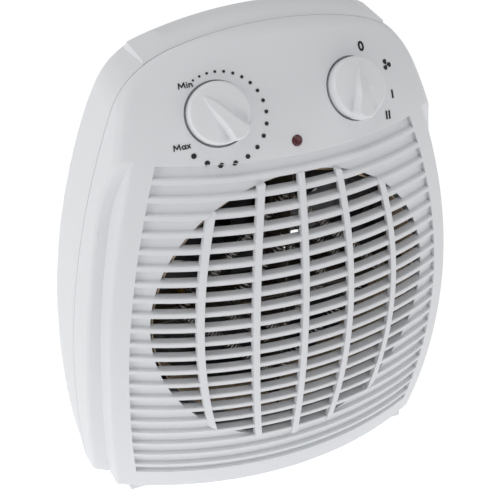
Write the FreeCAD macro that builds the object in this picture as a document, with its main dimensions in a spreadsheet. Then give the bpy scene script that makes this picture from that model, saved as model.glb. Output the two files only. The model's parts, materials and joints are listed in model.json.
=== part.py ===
import FreeCAD, Part
import math
import os

# Fan convector heater: two moulded covers, louvred outlet, two rotary controls,
# nichrome heater on mica, axial fan driven by a shaded-pole motor.
# Frame: X to the viewer's right, the front faces -Y, Z up, origin under the middle of the feet.

V = FreeCAD.Vector
doc = FreeCAD.newDocument("fan_heater")
sheet = doc.addObject("Spreadsheet::Sheet", "Dims")

# name, value in mm or degrees, what it drives
DIMENSIONS = [
    ("seam_y", 4.7, "plane where the front and rear covers meet"),
    ("seam_gap", 0.35, "shadow gap between the covers"),
    ("floor_z", 2.4, "height of the shell above the floor"),
    ("wall", 2.4, "shell wall"),
    ("turn_axis_y", 135.3, "upright axis that the front surface turns about"),
    ("belly_y", -53.0, "foremost line of the front surface"),
    ("belly_z", 81.4, "height of the foremost line"),
    ("belly_radius", 304.0, "upright curvature of the grille"),
    ("brow_radius", 110.0, "bend from the grille into the control panel"),
    ("brow_angle", 19.2, "slope where the bend starts"),
    ("panel_angle", 37.0, "slope of the control panel"),
    ("top_centre_z", 47.4, "centre of the top arch"),
    ("top_radius", 190.0, "top arch"),
    ("shoulder_radius", 40.0, "shoulder arc"),
    ("side_radius", 440.0, "barrel side"),
    ("side_centre_x", 343.0, "distance of the barrel centre across the middle"),
    ("side_centre_z", 72.0, "height of the widest line"),
    ("edge_radius", 3.2, "rounding of the front edge"),
    ("shoulder_round", 8.0, "rounding of the front edge over the top"),
    ("ledge_depth", 10.0, "depth of the ledge beside the grille panel"),
    ("ledge_join_z", 152.0, "height where the ledge starts to rise to the brow"),
    ("ledge_top_z", 189.5, "height where the ledge has reached the brow"),
    ("grille_half", 91.2, "half width of the raised grille panel"),
    ("grille_high_radius", 350.0, "side curve of the grille panel, upper part"),
    ("grille_low_radius", 480.0, "side curve of the grille panel, lower part"),
    ("grille_round", 2.6, "rounding of the grille panel edge"),
    ("field_half", 82.7, "half width of the louvre field"),
    ("field_high_radius", 320.0, "side curve of the louvre field, upper part"),
    ("field_low_radius", 405.0, "side curve of the louvre field, lower part"),
    ("field_centre_z", 83.4, "height of the widest louvre"),
    ("louvre_top", 187.4, "top edge of the first louvre gap"),
    ("louvre_bottom", 15.8, "bottom edge of the last louvre gap"),
    ("louvre_pitch", 8.0, "louvre spacing"),
    ("louvre_gap", 5.4, "louvre gap height"),
    ("louvre_blind", 2.2, "depth of the blind gaps"),
    ("louvre_edge", 0.4, "chamfer of the louvre edges"),
    ("grille_wall", 4.3, "depth of the louvre slats"),
    ("outlet_radius", 72.6, "round air outlet"),
    ("fan_z", 106.6, "height of the outlet and of the fan axis"),
    ("rib_width", 3.2, "upright grille rib"),
    ("rib_proud", 0.7, "how far the ribs stand forward of the slats"),
    ("rib_depth", 2.2, "how far the ribs reach back between the slats"),
    ("rib_inner_x", 25.0, "first rib from the middle"),
    ("rib_inner_radius", 462.0, "bow of the first rib"),
    ("rib_outer_x", 51.3, "second rib from the middle"),
    ("rib_outer_radius", 231.0, "bow of the second rib"),
    ("back_y", 53.7, "rearmost line of the back"),
    ("back_round", 11.0, "rounding of the rear edge"),
    ("rear_draft", 8.0, "slope of the rear cover sides towards the back"),
    ("hump_rise", 3.2, "height of the grip over the top of the rear cover"),
    ("hump_half", 61.0, "half width of the grip at its foot"),
    ("hump_ramp", 11.0, "length of the slope at each end of the grip"),
    ("foot_width", 9.0, "moulded foot"),
    ("foot_length", 10.0, "moulded foot"),
    ("foot_x", 73.6, "foot centre from the middle"),
    ("front_foot_y", -24.4, "front edge of the front feet"),
    ("rear_foot_y", 28.0, "front edge of the rear feet"),
    ("knob_x", 34.6, "control axis from the middle"),
    ("knob_y", -18.9, "control axis depth at the panel"),
    ("knob_z", 207.8, "control axis height at the panel"),
    ("knob_tilt", 35.0, "control axis, upward tilt"),
    ("knob_yaw", 8.0, "control axis, outward turn"),
    ("knob_radius", 14.4, "knob rim"),
    ("knob_height", 5.4, "knob rim above the panel"),
    ("knob_gap", 0.9, "clearance round the knob in its recess"),
    ("recess_depth", 4.0, "knob recess"),
    ("spindle_radius", 3.0, "control spindle"),
    ("running_gap", 0.04, "radial clearance of a running fit"),
    ("lens_y", -31.2, "pilot lens depth at the panel"),
    ("lens_z", 193.5, "pilot lens height"),
    ("lens_tilt", 26.0, "pilot lens, upward tilt"),
    ("lens_radius", 2.5, "pilot lens"),
    ("liner_radius", 70.5, "outside of the mica liner"),
    ("liner_front", -31.0, "front edge of the mica liner"),
    ("duct_front", -3.0, "front face of the fan duct"),
    ("duct_rear", 26.0, "rear face of the fan duct"),
    ("duct_radius", 64.5, "inside of the fan duct"),
    ("duct_wall", 2.0, "fan duct wall"),
    ("duct_post", 58.0, "duct fixing, sideways and up from the fan axis"),
    ("mica_thickness", 0.8, "mica sheet"),
    ("board_front", -30.0, "front edge of the mica boards"),
    ("board_depth", 24.0, "mica board width"),
    ("board_half", 69.2, "half length of the mica boards"),
    ("coil_radius", 2.6, "outside of the heating coils"),
    ("fan_radius", 62.0, "impeller tip"),
    ("hub_radius", 15.0, "impeller hub"),
    ("hub_front", 3.0, "front face of the impeller hub"),
    ("hub_depth", 16.0, "impeller hub length"),
    ("blade_count", 7, "impeller blades"),
    ("shaft_radius", 1.6, "motor shaft"),
    ("stack_front", 30.0, "front face of the stator stack"),
    ("stack_depth", 10.0, "stator lamination stack"),
    ("rotor_radius", 11.0, "rotor"),
    ("screw_radius", 1.7, "self-tapping screw shank"),
    ("screw_low_x", 72.0, "lower cover screws from the middle"),
    ("screw_low_z", 22.0, "lower cover screws"),
    ("screw_high_x", 59.0, "upper cover screws from the middle"),
    ("screw_high_z", 194.0, "upper cover screws"),
    ("gland_x", 52.0, "cord gland from the middle"),
    ("gland_y", 55.2, "outer face of the cord gland"),
    ("gland_z", 24.0, "cord gland"),
    ("gland_radius", 6.0, "cord gland"),
]
for row, (alias, value, note) in enumerate(DIMENSIONS, 1):
    sheet.set("A%d" % row, alias)
    sheet.set("B%d" % row, str(value))
    sheet.setAlias("B%d" % row, alias)
    sheet.set("C%d" % row, note)
doc.recompute()


def dim(alias):
    """Value of one driving dimension."""
    return float(sheet.get(alias))


# ---------------------------------------------------------------- small builders
TO_Y = FreeCAD.Rotation(V(1, 0, 0), -90)        # turns +Z into +Y
XZ_PLANE = FreeCAD.Rotation(V(1, 0, 0), 90)     # sketch x, y -> X, Z
YZ_PLANE = FreeCAD.Rotation(V(1, 1, 1), 120)    # sketch x, y -> Y, Z
BEHIND_PLANE = FreeCAD.Rotation(V(0, 0, 1), 180).multiply(YZ_PLANE)


def bind(obj, prop, value):
    """Set a size from a number, or bind it to the sheet when it is an expression."""
    if isinstance(value, str):
        obj.setExpression(prop, value)
    else:
        setattr(obj, prop, value)


def box(name, corner, size):
    item = doc.addObject("Part::Box", name)
    for prop, value in zip(("Length", "Width", "Height"), size):
        bind(item, prop, value)
    item.Placement = FreeCAD.Placement(V(*corner), FreeCAD.Rotation())
    return item


def cylinder_y(name, radius, length, centre):
    """Cylinder running towards +Y from its start point."""
    item = doc.addObject("Part::Cylinder", name)
    bind(item, "Radius", radius)
    bind(item, "Height", length)
    item.Placement = FreeCAD.Placement(V(*centre), TO_Y)
    return item


def cylinder_at(name, radius, length, placement):
    item = doc.addObject("Part::Cylinder", name)
    bind(item, "Radius", radius)
    bind(item, "Height", length)
    item.Placement = placement
    return item


def fuse(name, items):
    item = doc.addObject("Part::MultiFuse", name)
    item.Shapes = items
    item.Refine = True
    return item


def cut(name, base, tool):
    item = doc.addObject("Part::Cut", name)
    item.Base = base
    item.Tool = tool
    item.Refine = False
    return item


def common(name, items):
    item = doc.addObject("Part::MultiCommon", name)
    item.Shapes = items
    return item


def compound(name, items):
    item = doc.addObject("Part::Compound", name)
    item.Links = items
    return item


def sketch(name, rotation, base, edges):
    item = doc.addObject("Sketcher::SketchObject", name)
    item.Placement = FreeCAD.Placement(V(*base), rotation)
    item.addGeometry(edges, False)
    return item


def extrude(name, profile, direction, length):
    item = doc.addObject("Part::Extrusion", name)
    item.Base = profile
    item.DirMode = "Custom"
    item.Dir = V(*direction)
    bind(item, "LengthFwd", length)
    item.Solid = True
    return item


def revolve(name, profile, base, axis, angle=360.0):
    item = doc.addObject("Part::Revolution", name)
    item.Source = profile
    item.Base = V(*base)
    item.Axis = V(*axis)
    item.Angle = angle
    item.Solid = True
    return item


def shaped(name, shape):
    item = doc.addObject("Part::Feature", name)
    item.Shape = shape
    return item


def polyline(points):
    """Closed run of straight sketch edges."""
    closed = points + points[:1]
    return [Part.LineSegment(V(*a, 0), V(*b, 0)) for a, b in zip(closed, closed[1:])]


def arc(a, b, c):
    return Part.Arc(V(*a, 0), V(*b, 0), V(*c, 0))


def line(a, b):
    return Part.LineSegment(V(*a, 0), V(*b, 0))


# ---------------------------------------------------------------- casing curves
def barrel(inset, floor):
    """Front view of the casing: arched top, shoulders, barrel sides, flat foot."""
    cx, cz, side = dim("side_centre_x"), dim("side_centre_z"), dim("side_radius")
    tz, top, sh = dim("top_centre_z"), dim("top_radius"), dim("shoulder_radius")
    # the shoulder circle touches the top arch and the side circle from inside
    far_top, far_side = top - sh, side - sh
    span = math.hypot(cx, cz - tz)
    along = (far_side ** 2 - far_top ** 2 + span ** 2) / (2 * span)
    off = math.sqrt(far_side ** 2 - along ** 2)
    ux, uz = cx / span, (tz - cz) / span
    sx = -cx + along * ux - off * uz
    sz = cz + along * uz + off * ux
    side_r, sh_r, top_r = side - inset, sh - inset, top - inset

    def on_side(z):
        return -cx + math.sqrt(side_r ** 2 - (z - cz) ** 2)

    low = (on_side(floor), floor)
    ang_side = math.atan2(sz - cz, sx + cx)
    join_low = (-cx + side_r * math.cos(ang_side), cz + side_r * math.sin(ang_side))
    ang_top = math.atan2(sz - tz, sx)
    join_high = (top_r * math.cos(ang_top), tz + top_r * math.sin(ang_top))
    ang_mid = (ang_side + ang_top) / 2
    mid_sh = (sx + sh_r * math.cos(ang_mid), sz + sh_r * math.sin(ang_mid))
    mid_z = (floor + join_low[1]) / 2
    mid_side = (on_side(mid_z), mid_z)

    def flip(p):
        return (-p[0], p[1])

    return [
        line(flip(low), low),
        arc(low, mid_side, join_low),
        arc(join_low, mid_sh, join_high),
        arc(join_high, (0, tz + top_r), flip(join_high)),
        arc(flip(join_high), flip(mid_sh), flip(join_low)),
        arc(flip(join_low), flip(mid_side), flip(low)),
    ]


def front_y(z, depth):
    """Depth position of the front surface at mid width, set back by depth."""
    first, second = math.radians(dim("brow_angle")), math.radians(dim("panel_angle"))
    bend = dim("belly_radius") - dim("brow_radius")
    belly_centre = dim("belly_y") + dim("belly_radius")
    brow_y = belly_centre - bend * math.cos(first)
    brow_z = dim("belly_z") + bend * math.sin(first)
    belly, brow = dim("belly_radius") - depth, dim("brow_radius") - depth
    if z <= dim("belly_z") + belly * math.sin(first):
        return belly_centre - math.sqrt(belly ** 2 - (z - dim("belly_z")) ** 2)
    panel_z = brow_z + brow * math.sin(second)
    if z <= panel_z:
        return brow_y - math.sqrt(brow ** 2 - (z - brow_z) ** 2)
    return brow_y - brow * math.cos(second) + (z - panel_z) * math.tan(second)


def front_join_z(angle_name, depth):
    """Height where the front surface passes from one curve to the next."""
    first = math.radians(dim("brow_angle"))
    if angle_name == "brow_angle":
        return dim("belly_z") + (dim("belly_radius") - depth) * math.sin(first)
    bend = dim("belly_radius") - dim("brow_radius")
    brow_z = dim("belly_z") + bend * math.sin(first)
    return brow_z + (dim("brow_radius") - depth) * math.sin(math.radians(dim("panel_angle")))


PROFILE_LOW, PROFILE_HIGH = -12.0, 252.0


def front_arc(z_from, z_to, depth, end_depth=None):
    """Sketch arc along the front surface between two heights."""
    last = depth if end_depth is None else end_depth
    middle = (z_from + z_to) / 2
    mid_depth = (depth + last) / 2
    return arc((front_y(z_from, depth), z_from), (front_y(middle, mid_depth), middle),
               (front_y(z_to, last), z_to))


def close_profile(edges, depth):
    """Carry a front profile up the panel and round to the turning axis."""
    panel_z = front_join_z("panel_angle", depth)
    start = (front_y(panel_z, depth), panel_z)
    end = (front_y(PROFILE_HIGH, depth), PROFILE_HIGH)
    low = (edges[0].StartPoint.x, PROFILE_LOW)
    axis_y = dim("turn_axis_y")
    return edges + polyline([start, end, (axis_y, PROFILE_HIGH), (axis_y, PROFILE_LOW), low])[:-1]


def grille_profile(depth):
    """Side view of the grille surface and control panel at mid width."""
    brow_z, panel_z = front_join_z("brow_angle", depth), front_join_z("panel_angle", depth)
    edges = [front_arc(PROFILE_LOW, brow_z, depth), front_arc(brow_z, panel_z, depth)]
    return close_profile(edges, depth)


def ledge_profile(depth):
    """Side view of the casing face: a ledge below, which swells up to the control panel."""
    low = depth + dim("ledge_depth")
    join_z, brow_z = dim("ledge_join_z"), dim("ledge_top_z")
    panel_z = front_join_z("panel_angle", depth)
    join = V(front_y(join_z, low), join_z, 0)
    brow = V(front_y(brow_z, depth), brow_z, 0)
    step = 0.01
    leave = V(front_y(join_z + step, low) - join.x, step, 0).normalize()
    arrive = V(front_y(brow_z + step, depth) - brow.x, step, 0).normalize()
    swell = Part.BezierCurve()
    swell.setPoles([join, join + leave * 24.0, brow - arrive * 3.5, brow])
    edges = [
        front_arc(PROFILE_LOW, join_z, low),
        swell.toBSpline(),
        front_arc(brow_z, panel_z, depth),
    ]
    return close_profile(edges, depth)


def front_core(name, profile):
    """Solid of revolution behind a front profile."""
    outline = sketch(name + "Profile", BEHIND_PLANE, (0, 2 * dim("turn_axis_y"), 0), profile)
    return revolve(name, outline, (0, dim("turn_axis_y"), 0), (0, 0, 1))


def waisted_outline(half, high_radius, low_radius, bottom, top):
    """Front view of the grille panel or louvre field: two bowed sides, flat ends."""
    centre = dim("field_centre_z")

    def side_x(z):
        radius = high_radius if z > centre else low_radius
        return half - radius + math.sqrt(radius ** 2 - (z - centre) ** 2)

    def side_arc(z_from, z_to, sign):
        middle = (z_from + z_to) / 2
        return arc((sign * side_x(z_from), z_from), (sign * side_x(middle), middle),
                   (sign * side_x(z_to), z_to))

    return [
        line((-side_x(bottom), bottom), (side_x(bottom), bottom)),
        side_arc(bottom, centre, 1),
        side_arc(centre, top, 1),
        line((side_x(top), top), (-side_x(top), top)),
        side_arc(top, centre, -1),
        side_arc(centre, bottom, -1),
    ]


def casing_block(name, inset, floor, y_from, y_to):
    """Casing outline carried from one depth to another."""
    outline = sketch(name + "Outline", XZ_PLANE, (0, y_from, 0), barrel(inset, floor))
    return extrude(name, outline, (0, 1 if y_to > y_from else -1, 0), abs(y_to - y_from))


def control_placement(side, height):
    """Placement on a control axis; side -1 is the thermostat, +1 the selector."""
    tilt, yaw = math.radians(dim("knob_tilt")), math.radians(dim("knob_yaw"))
    out = V(side * math.sin(yaw), -math.cos(yaw) * math.cos(tilt), math.cos(yaw) * math.sin(tilt))
    up = V(0, math.sin(tilt), math.cos(tilt))
    across = up.cross(out)
    across.normalize()
    up = out.cross(across)
    matrix = FreeCAD.Matrix(across.x, up.x, out.x, 0, across.y, up.y, out.y, 0,
                            across.z, up.z, out.z, 0, 0, 0, 0, 1)
    turn = FreeCAD.Placement(matrix).Rotation
    origin = V(side * dim("knob_x"), dim("knob_y"), dim("knob_z"))
    return FreeCAD.Placement(origin + out * height, turn)


doc.recompute()
NODES = {}


def keep(node, item):
    item.Label = node
    NODES[node] = item
    return item


# ---------------------------------------------------------------- part design helpers
def new_body(node, placement):
    item = doc.addObject("PartDesign::Body", node)
    item.Placement = placement
    NODES[node] = item
    return item


def body_sketch(item, name, role, edges, offset=0.0):
    """Sketch on one of the body's own origin planes."""
    profile = item.newObject("Sketcher::SketchObject", name)
    plane = next(f for f in item.Origin.OriginFeatures if f.Role == role)
    profile.AttachmentSupport = [(plane, "")]
    profile.MapMode = "FlatFace"
    profile.AttachmentOffset = FreeCAD.Placement(V(0, 0, offset), FreeCAD.Rotation())
    profile.addGeometry(edges, False)
    return profile


def turned(item, name, points):
    """Revolve (radius, height) points about the body's Z axis."""
    profile = body_sketch(item, name + "Profile", "XZ_Plane", polyline(points))
    feature = item.newObject("PartDesign::Revolution", name)
    feature.Profile = profile
    feature.ReferenceAxis = (profile, ["V_Axis"])
    feature.Angle = 360.0
    return feature


def padded(item, name, edges, start, length):
    profile = body_sketch(item, name + "Profile", "XY_Plane", edges, start)
    feature = item.newObject("PartDesign::Pad", name)
    feature.Profile = profile
    bind(feature, "Length", length)
    return feature


def pocketed(item, name, edges, start, length):
    """Pocket that runs upwards from its start height."""
    profile = body_sketch(item, name + "Profile", "XY_Plane", edges, start)
    feature = item.newObject("PartDesign::Pocket", name)
    feature.Profile = profile
    feature.Reversed = True
    bind(feature, "Length", length)
    return feature


def circle(radius, x=0.0, y=0.0):
    return Part.Circle(V(x, y, 0), V(0, 0, 1), radius)


def rectangle(x_size, y_size, x=0.0, y=0.0):
    a, b = x_size / 2, y_size / 2
    return polyline([(x - a, y - b), (x + a, y - b), (x + a, y + b), (x - a, y + b)])


def along_fan_axis(y, turn=0.0):
    """Placement with local Z along +Y on the fan axis."""
    spin = FreeCAD.Rotation(V(0, 1, 0), turn)
    return FreeCAD.Placement(V(0, y, dim("fan_z")), spin.multiply(TO_Y))


def screw_points():
    """Cover screw positions in the front view."""
    low = [(s * dim("screw_low_x"), dim("screw_low_z")) for s in (-1, 1)]
    high = [(s * dim("screw_high_x"), dim("screw_high_z")) for s in (-1, 1)]
    return low + high


def duct_posts():
    offset, z = dim("duct_post"), dim("fan_z")
    return [(sx * offset, z + sz * offset) for sx in (-1, 1) for sz in (-1, 1)]


# ---------------------------------------------------------------- front cover
SHELL_FRONT = -80.0


def edges_near(shape, test):
    """One-based numbers of the edges whose middle passes the test."""
    found = []
    for number, edge in enumerate(shape.Edges, 1):
        middle = edge.valueAt((edge.FirstParameter + edge.LastParameter) / 2)
        if test(edge, middle):
            found.append(number)
    return found


def fillet_edges(name, base, picks):
    """Part fillet; picks is a list of (edge number, radius)."""
    item = doc.addObject("Part::Fillet", name)
    item.Base = base
    item.Edges = [(number, radius, radius) for number, radius in picks]
    return item


def face_edges(shape):
    """Numbers of the edges where a front surface meets the side walls and the top."""
    return edges_near(shape, lambda e, m: e.Curve.TypeId == "Part::GeomBSplineCurve"
                      and m.z > dim("floor_z") + 0.5 and m.y < dim("seam_y") + 15.0)


def casing_with_face(name, profile, radius):
    """Casing outline closed in front by a surface, with the edge between them rounded."""
    block = common(name, [
        casing_block(name + "Casing", 0.0, dim("floor_z"), dim("back_y") + 15.0, SHELL_FRONT),
        front_core(name + "Core", profile),
    ])
    doc.recompute()
    return fillet_edges(name + "Rounded", block, [(n, radius) for n in face_edges(block.Shape)])


def casing_whole():
    """Both covers as one block: tight rounding beside the ledge, a softer one over the top."""
    brow = casing_with_face("BrowCasing", grille_profile(0.0), dim("shoulder_round"))
    ledge = casing_with_face("LedgeCasing", ledge_profile(0.0), dim("edge_radius"))
    return common("CasingWhole", [ledge, brow]), brow


def half_space(name, y_from, y_to):
    return box(name, (-150, y_from, -10), (300, y_to - y_from, 300))


def outer_front(casing, brow):
    """Outside of the front cover: casing with the raised grille panel, trimmed by the brow."""
    base = common("FrontBase", [casing, half_space("FrontHalf", SHELL_FRONT, dim("seam_y"))])
    outline = sketch("GrilleOutline", XZ_PLANE, (0, dim("seam_y") - 10, 0), waisted_outline(
        dim("grille_half"), dim("grille_high_radius"), dim("grille_low_radius"),
        dim("floor_z"), dim("louvre_top") + 5.0))
    panel = common("GrillePanel", [
        extrude("GrilleBlock", outline, (0, -1, 0), -SHELL_FRONT),
        front_core("GrilleCore", grille_profile(0.0)),
    ])
    doc.recompute()
    sides = edges_near(panel.Shape, lambda e, m: e.Curve.TypeId == "Part::GeomBSplineCurve")
    raised = fillet_edges("GrillePanelRounded", panel, [(n, dim("grille_round")) for n in sides])
    trimmed = common("GrillePanelTrimmed", [raised, brow])
    return fuse("FrontOutside", [base, trimmed])


def front_cavity():
    """Hollow of the front cover."""
    wall = dim("wall")
    block = common("FrontHollowBase", [
        casing_block("FrontHollowCasing", wall, dim("floor_z") + wall, dim("seam_y") + 1.0,
                     SHELL_FRONT),
        front_core("LedgeHollowCore", ledge_profile(wall)),
    ])
    outline = sketch("GrilleHollowOutline", XZ_PLANE, (0, dim("seam_y") - 10, 0), waisted_outline(
        dim("grille_half") - wall, dim("grille_high_radius") - wall,
        dim("grille_low_radius") - wall, dim("floor_z") + wall, dim("louvre_top")))
    panel = common("GrilleHollow", [
        extrude("GrilleHollowBlock", outline, (0, -1, 0), -SHELL_FRONT),
        front_core("GrilleHollowCore", grille_profile(dim("grille_wall"))),
    ])
    return fuse("FrontHollow", [block, panel])


def louvre_rings(name, depth):
    """Ring-shaped cutters for every louvre gap, with chamfered mouths."""
    edges = []
    top = dim("louvre_top")
    chamfer = dim("louvre_edge")
    while top > dim("louvre_bottom") + 1.0:
        bottom = max(top - dim("louvre_gap"), dim("louvre_bottom"))
        edges += polyline([
            (front_y(top + 2 * chamfer, -chamfer), top + 2 * chamfer),
            (front_y(top, chamfer), top),
            (front_y(top, depth), top),
            (front_y(bottom, depth), bottom),
            (front_y(bottom, chamfer), bottom),
            (front_y(bottom - 2 * chamfer, -chamfer), bottom - 2 * chamfer),
        ])
        top -= dim("louvre_pitch")
    return front_core(name, edges)


def ring_rib(name, middle_x, bow_radius):
    """Grille rib seen from the front: a bowed strip, thick enough to cross the slats."""
    side = 1 if middle_x > 0 else -1
    half = dim("rib_width") / 2
    reach = dim("outlet_radius") + 1.5
    centre = middle_x - side * bow_radius
    z = dim("fan_z")

    def rib_x(radius, height):
        return centre + side * math.sqrt(radius ** 2 - height ** 2)

    corners = []
    for radius in (bow_radius - half, bow_radius + half):
        corners.append([(rib_x(radius, h), z + h) for h in (-reach, 0, reach)])
    inner, outer = corners
    edges = [arc(*inner), line(inner[2], outer[2]), arc(*reversed(outer)), line(outer[0], inner[0])]
    outline = sketch(name + "Outline", XZ_PLANE, (0, 0, 0), edges)
    return extrude(name, outline, (0, -1, 0), -SHELL_FRONT)


def grille_ribs():
    """Five upright ribs over the round outlet, proud of the slats."""
    half = dim("rib_width") / 2
    reach = dim("outlet_radius") + 1.5
    z = dim("fan_z")
    strips = [box("RibMiddle", (-half, SHELL_FRONT, z - reach), (2 * half, -SHELL_FRONT, 2 * reach))]
    for side, tag in ((-1, "Left"), (1, "Right")):
        strips.append(ring_rib("RibInner" + tag, side * dim("rib_inner_x"), dim("rib_inner_radius")))
        strips.append(ring_rib("RibOuter" + tag, side * dim("rib_outer_x"), dim("rib_outer_radius")))
    band = cut("RibBand", front_core("RibFace", grille_profile(-dim("rib_proud"))),
               front_core("RibBack", grille_profile(dim("rib_depth"))))
    disc = cylinder_y("RibDisc", dim("outlet_radius") + 0.6, -SHELL_FRONT - 10,
                      (0, SHELL_FRONT, z))
    return common("Ribs", [compound("RibStrips", strips), disc, band])


def knob_recess(side, tag):
    """Cup behind the panel and the recess cut into it."""
    depth, wall = dim("recess_depth"), dim("wall")
    cup_radius = dim("knob_radius") + dim("knob_gap") + wall
    cup = cylinder_at("KnobCup" + tag, cup_radius, depth + wall + 2.0,
                      control_placement(side, -depth - wall))
    recess = cylinder_at("KnobRecess" + tag, dim("knob_radius") + dim("knob_gap"), 30.0,
                         control_placement(side, -depth))
    hole = cylinder_at("SpindleHole" + tag, dim("spindle_radius") + 0.6, 30.0,
                       control_placement(side, -20.0))
    pilots = [cylinder_at("ControlPilot%s%d" % (tag, number), 1.4, wall - 0.3, control_placement(
        side, 0.0).multiply(FreeCAD.Placement(V(x, 0, -depth - wall), FreeCAD.Rotation())))
        for number, x in enumerate((-14.0, 14.0))]
    return cup, [recess, hole] + pilots


def lens_placement(height):
    tilt = FreeCAD.Rotation(V(1, 0, 0), 90 - dim("lens_tilt"))
    out = tilt.multVec(V(0, 0, 1))
    return FreeCAD.Placement(V(0, dim("lens_y"), dim("lens_z")) + out * height, tilt)


def make_front_cover(casing, brow):
    outside = outer_front(casing, brow)
    shell = cut("FrontShell", outside, front_cavity())
    field = sketch("LouvreField", XZ_PLANE, (0, -2, 0), waisted_outline(
        dim("field_half"), dim("field_high_radius"), dim("field_low_radius"),
        dim("louvre_bottom") - 2.0, dim("louvre_top") + 2.0))
    blind = common("BlindLouvres", [
        extrude("LouvreFieldBlock", field, (0, -1, 0), -SHELL_FRONT),
        louvre_rings("LouvreRings", dim("louvre_blind")),
    ])
    through = common("OpenLouvres", [
        cylinder_y("OutletDisc", dim("outlet_radius"), -SHELL_FRONT - 12.0,
                   (0, SHELL_FRONT, dim("fan_z"))),
        louvre_rings("OpenRings", dim("grille_wall") + 1.0),
    ])
    grille = cut("FrontGrille", cut("FrontBlind", shell, blind), through)
    posts = []
    for number, (x, z) in enumerate(screw_points()):
        posts.append(cylinder_y("CoverPost%d" % number, 4.2, dim("seam_y") - SHELL_FRONT,
                                (x, SHELL_FRONT, z)))
    for number, (x, z) in enumerate(duct_posts()):
        posts.append(cylinder_y("DuctPost%d" % number, 3.6, dim("duct_front") - SHELL_FRONT,
                                (x, SHELL_FRONT, z)))
    cups, recesses = [], []
    for side, tag in ((-1, "Left"), (1, "Right")):
        cup, removed = knob_recess(side, tag)
        cups.append(cup)
        recesses += removed
    inside = common("FrontInner", [compound("FrontInnerParts", posts + cups), inner_mask()])
    feet = [box("FrontFoot" + tag, (s * dim("foot_x") - dim("foot_width") / 2, dim("front_foot_y"), 0),
                ("Dims.foot_width", "Dims.foot_length", "Dims.floor_z + 0.2"))
            for s, tag in ((-1, "Left"), (1, "Right"))]
    whole = fuse("FrontWhole", [grille, grille_ribs(), inside] + feet)
    holes = recesses
    for number, (x, z) in enumerate(screw_points()):
        holes.append(cylinder_y("CoverPilot%d" % number, "Dims.screw_radius", 22.0,
                                (x, dim("seam_y") - 20.0, z)))
    for number, (x, z) in enumerate(duct_posts()):
        holes.append(cylinder_y("DuctPilot%d" % number, "Dims.screw_radius", 14.0,
                                (x, dim("duct_front") - 12.0, z)))
    holes.append(cylinder_at("LensHole", dim("lens_radius") + 0.15, 20.0, lens_placement(-10.0)))
    keep("front_cover", cut("FrontCover", whole, compound("FrontHoles", holes)))


def inner_mask():
    """Space inside the outer skin, so that posts and cups stop at the wall."""
    half = dim("wall") / 2
    block = common("MaskBase", [
        casing_block("MaskCasing", half, dim("floor_z") + half, dim("seam_y"), SHELL_FRONT),
        front_core("MaskLedge", ledge_profile(half)),
    ])
    outline = sketch("MaskOutline", XZ_PLANE, (0, dim("seam_y") - 10, 0), waisted_outline(
        dim("grille_half") - half, dim("grille_high_radius") - half,
        dim("grille_low_radius") - half, dim("floor_z") + half, dim("louvre_top")))
    panel = common("MaskPanel", [
        extrude("MaskPanelBlock", outline, (0, -1, 0), -SHELL_FRONT),
        front_core("MaskPanelCore", grille_profile(dim("grille_wall") - 1.0)),
    ])
    return fuse("Mask", [block, panel])


# ---------------------------------------------------------------- rear cover
def back_profile(inset):
    """Side view of the back: nearly upright, leaning forward over the top."""
    y = dim("back_y") - inset
    low = dim("floor_z") + (0.0 if inset == 0 else inset)
    start = dim("seam_y") + dim("seam_gap") - (0.0 if inset == 0 else 1.0)
    top = 245.0
    return [
        line((start, low), (y - 3.0, low)),
        arc((y - 3.0, low), (y, 110.0), (y - 6.5, 186.0)),
        arc((y - 6.5, 186.0), (y - 14.0, 212.0), (y - 30.0, top)),
        line((y - 30.0, top), (start, top)),
        line((start, top), (start, low)),
    ]


def back_block(name, inset):
    outline = sketch(name + "Outline", YZ_PLANE, (-150, 0, 0), back_profile(inset))
    return extrude(name, outline, (1, 0, 0), 300.0)


def tapered_block(name, inset):
    """Casing outline that narrows towards the back, carried on below the floor."""
    y = dim("seam_y")
    outline = sketch(name + "Outline", XZ_PLANE, (0, y, 0), barrel(inset, -40.0))
    block = extrude(name, outline, (0, 1, 0), dim("back_y") + 15.0 - y)
    bind(block, "TaperAngle", "-Dims.rear_draft")
    return block


def turned_over_top(name, points):
    """Turn (depth, radius) points about the centre of the top arch."""
    z = dim("top_centre_z")
    start, rise, crown, fall, end, low = [(y, z + radius) for y, radius in points]
    profile = [
        arc(start, rise, crown),
        arc(crown, fall, end),
        line(end, low),
        line(low, (start[0], low[1])),
        line((start[0], low[1]), start),
    ]
    outline = sketch(name + "Profile", YZ_PLANE, (0, 0, 0), profile)
    return revolve(name, outline, (0, 0, z), (0, 1, 0))


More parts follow.
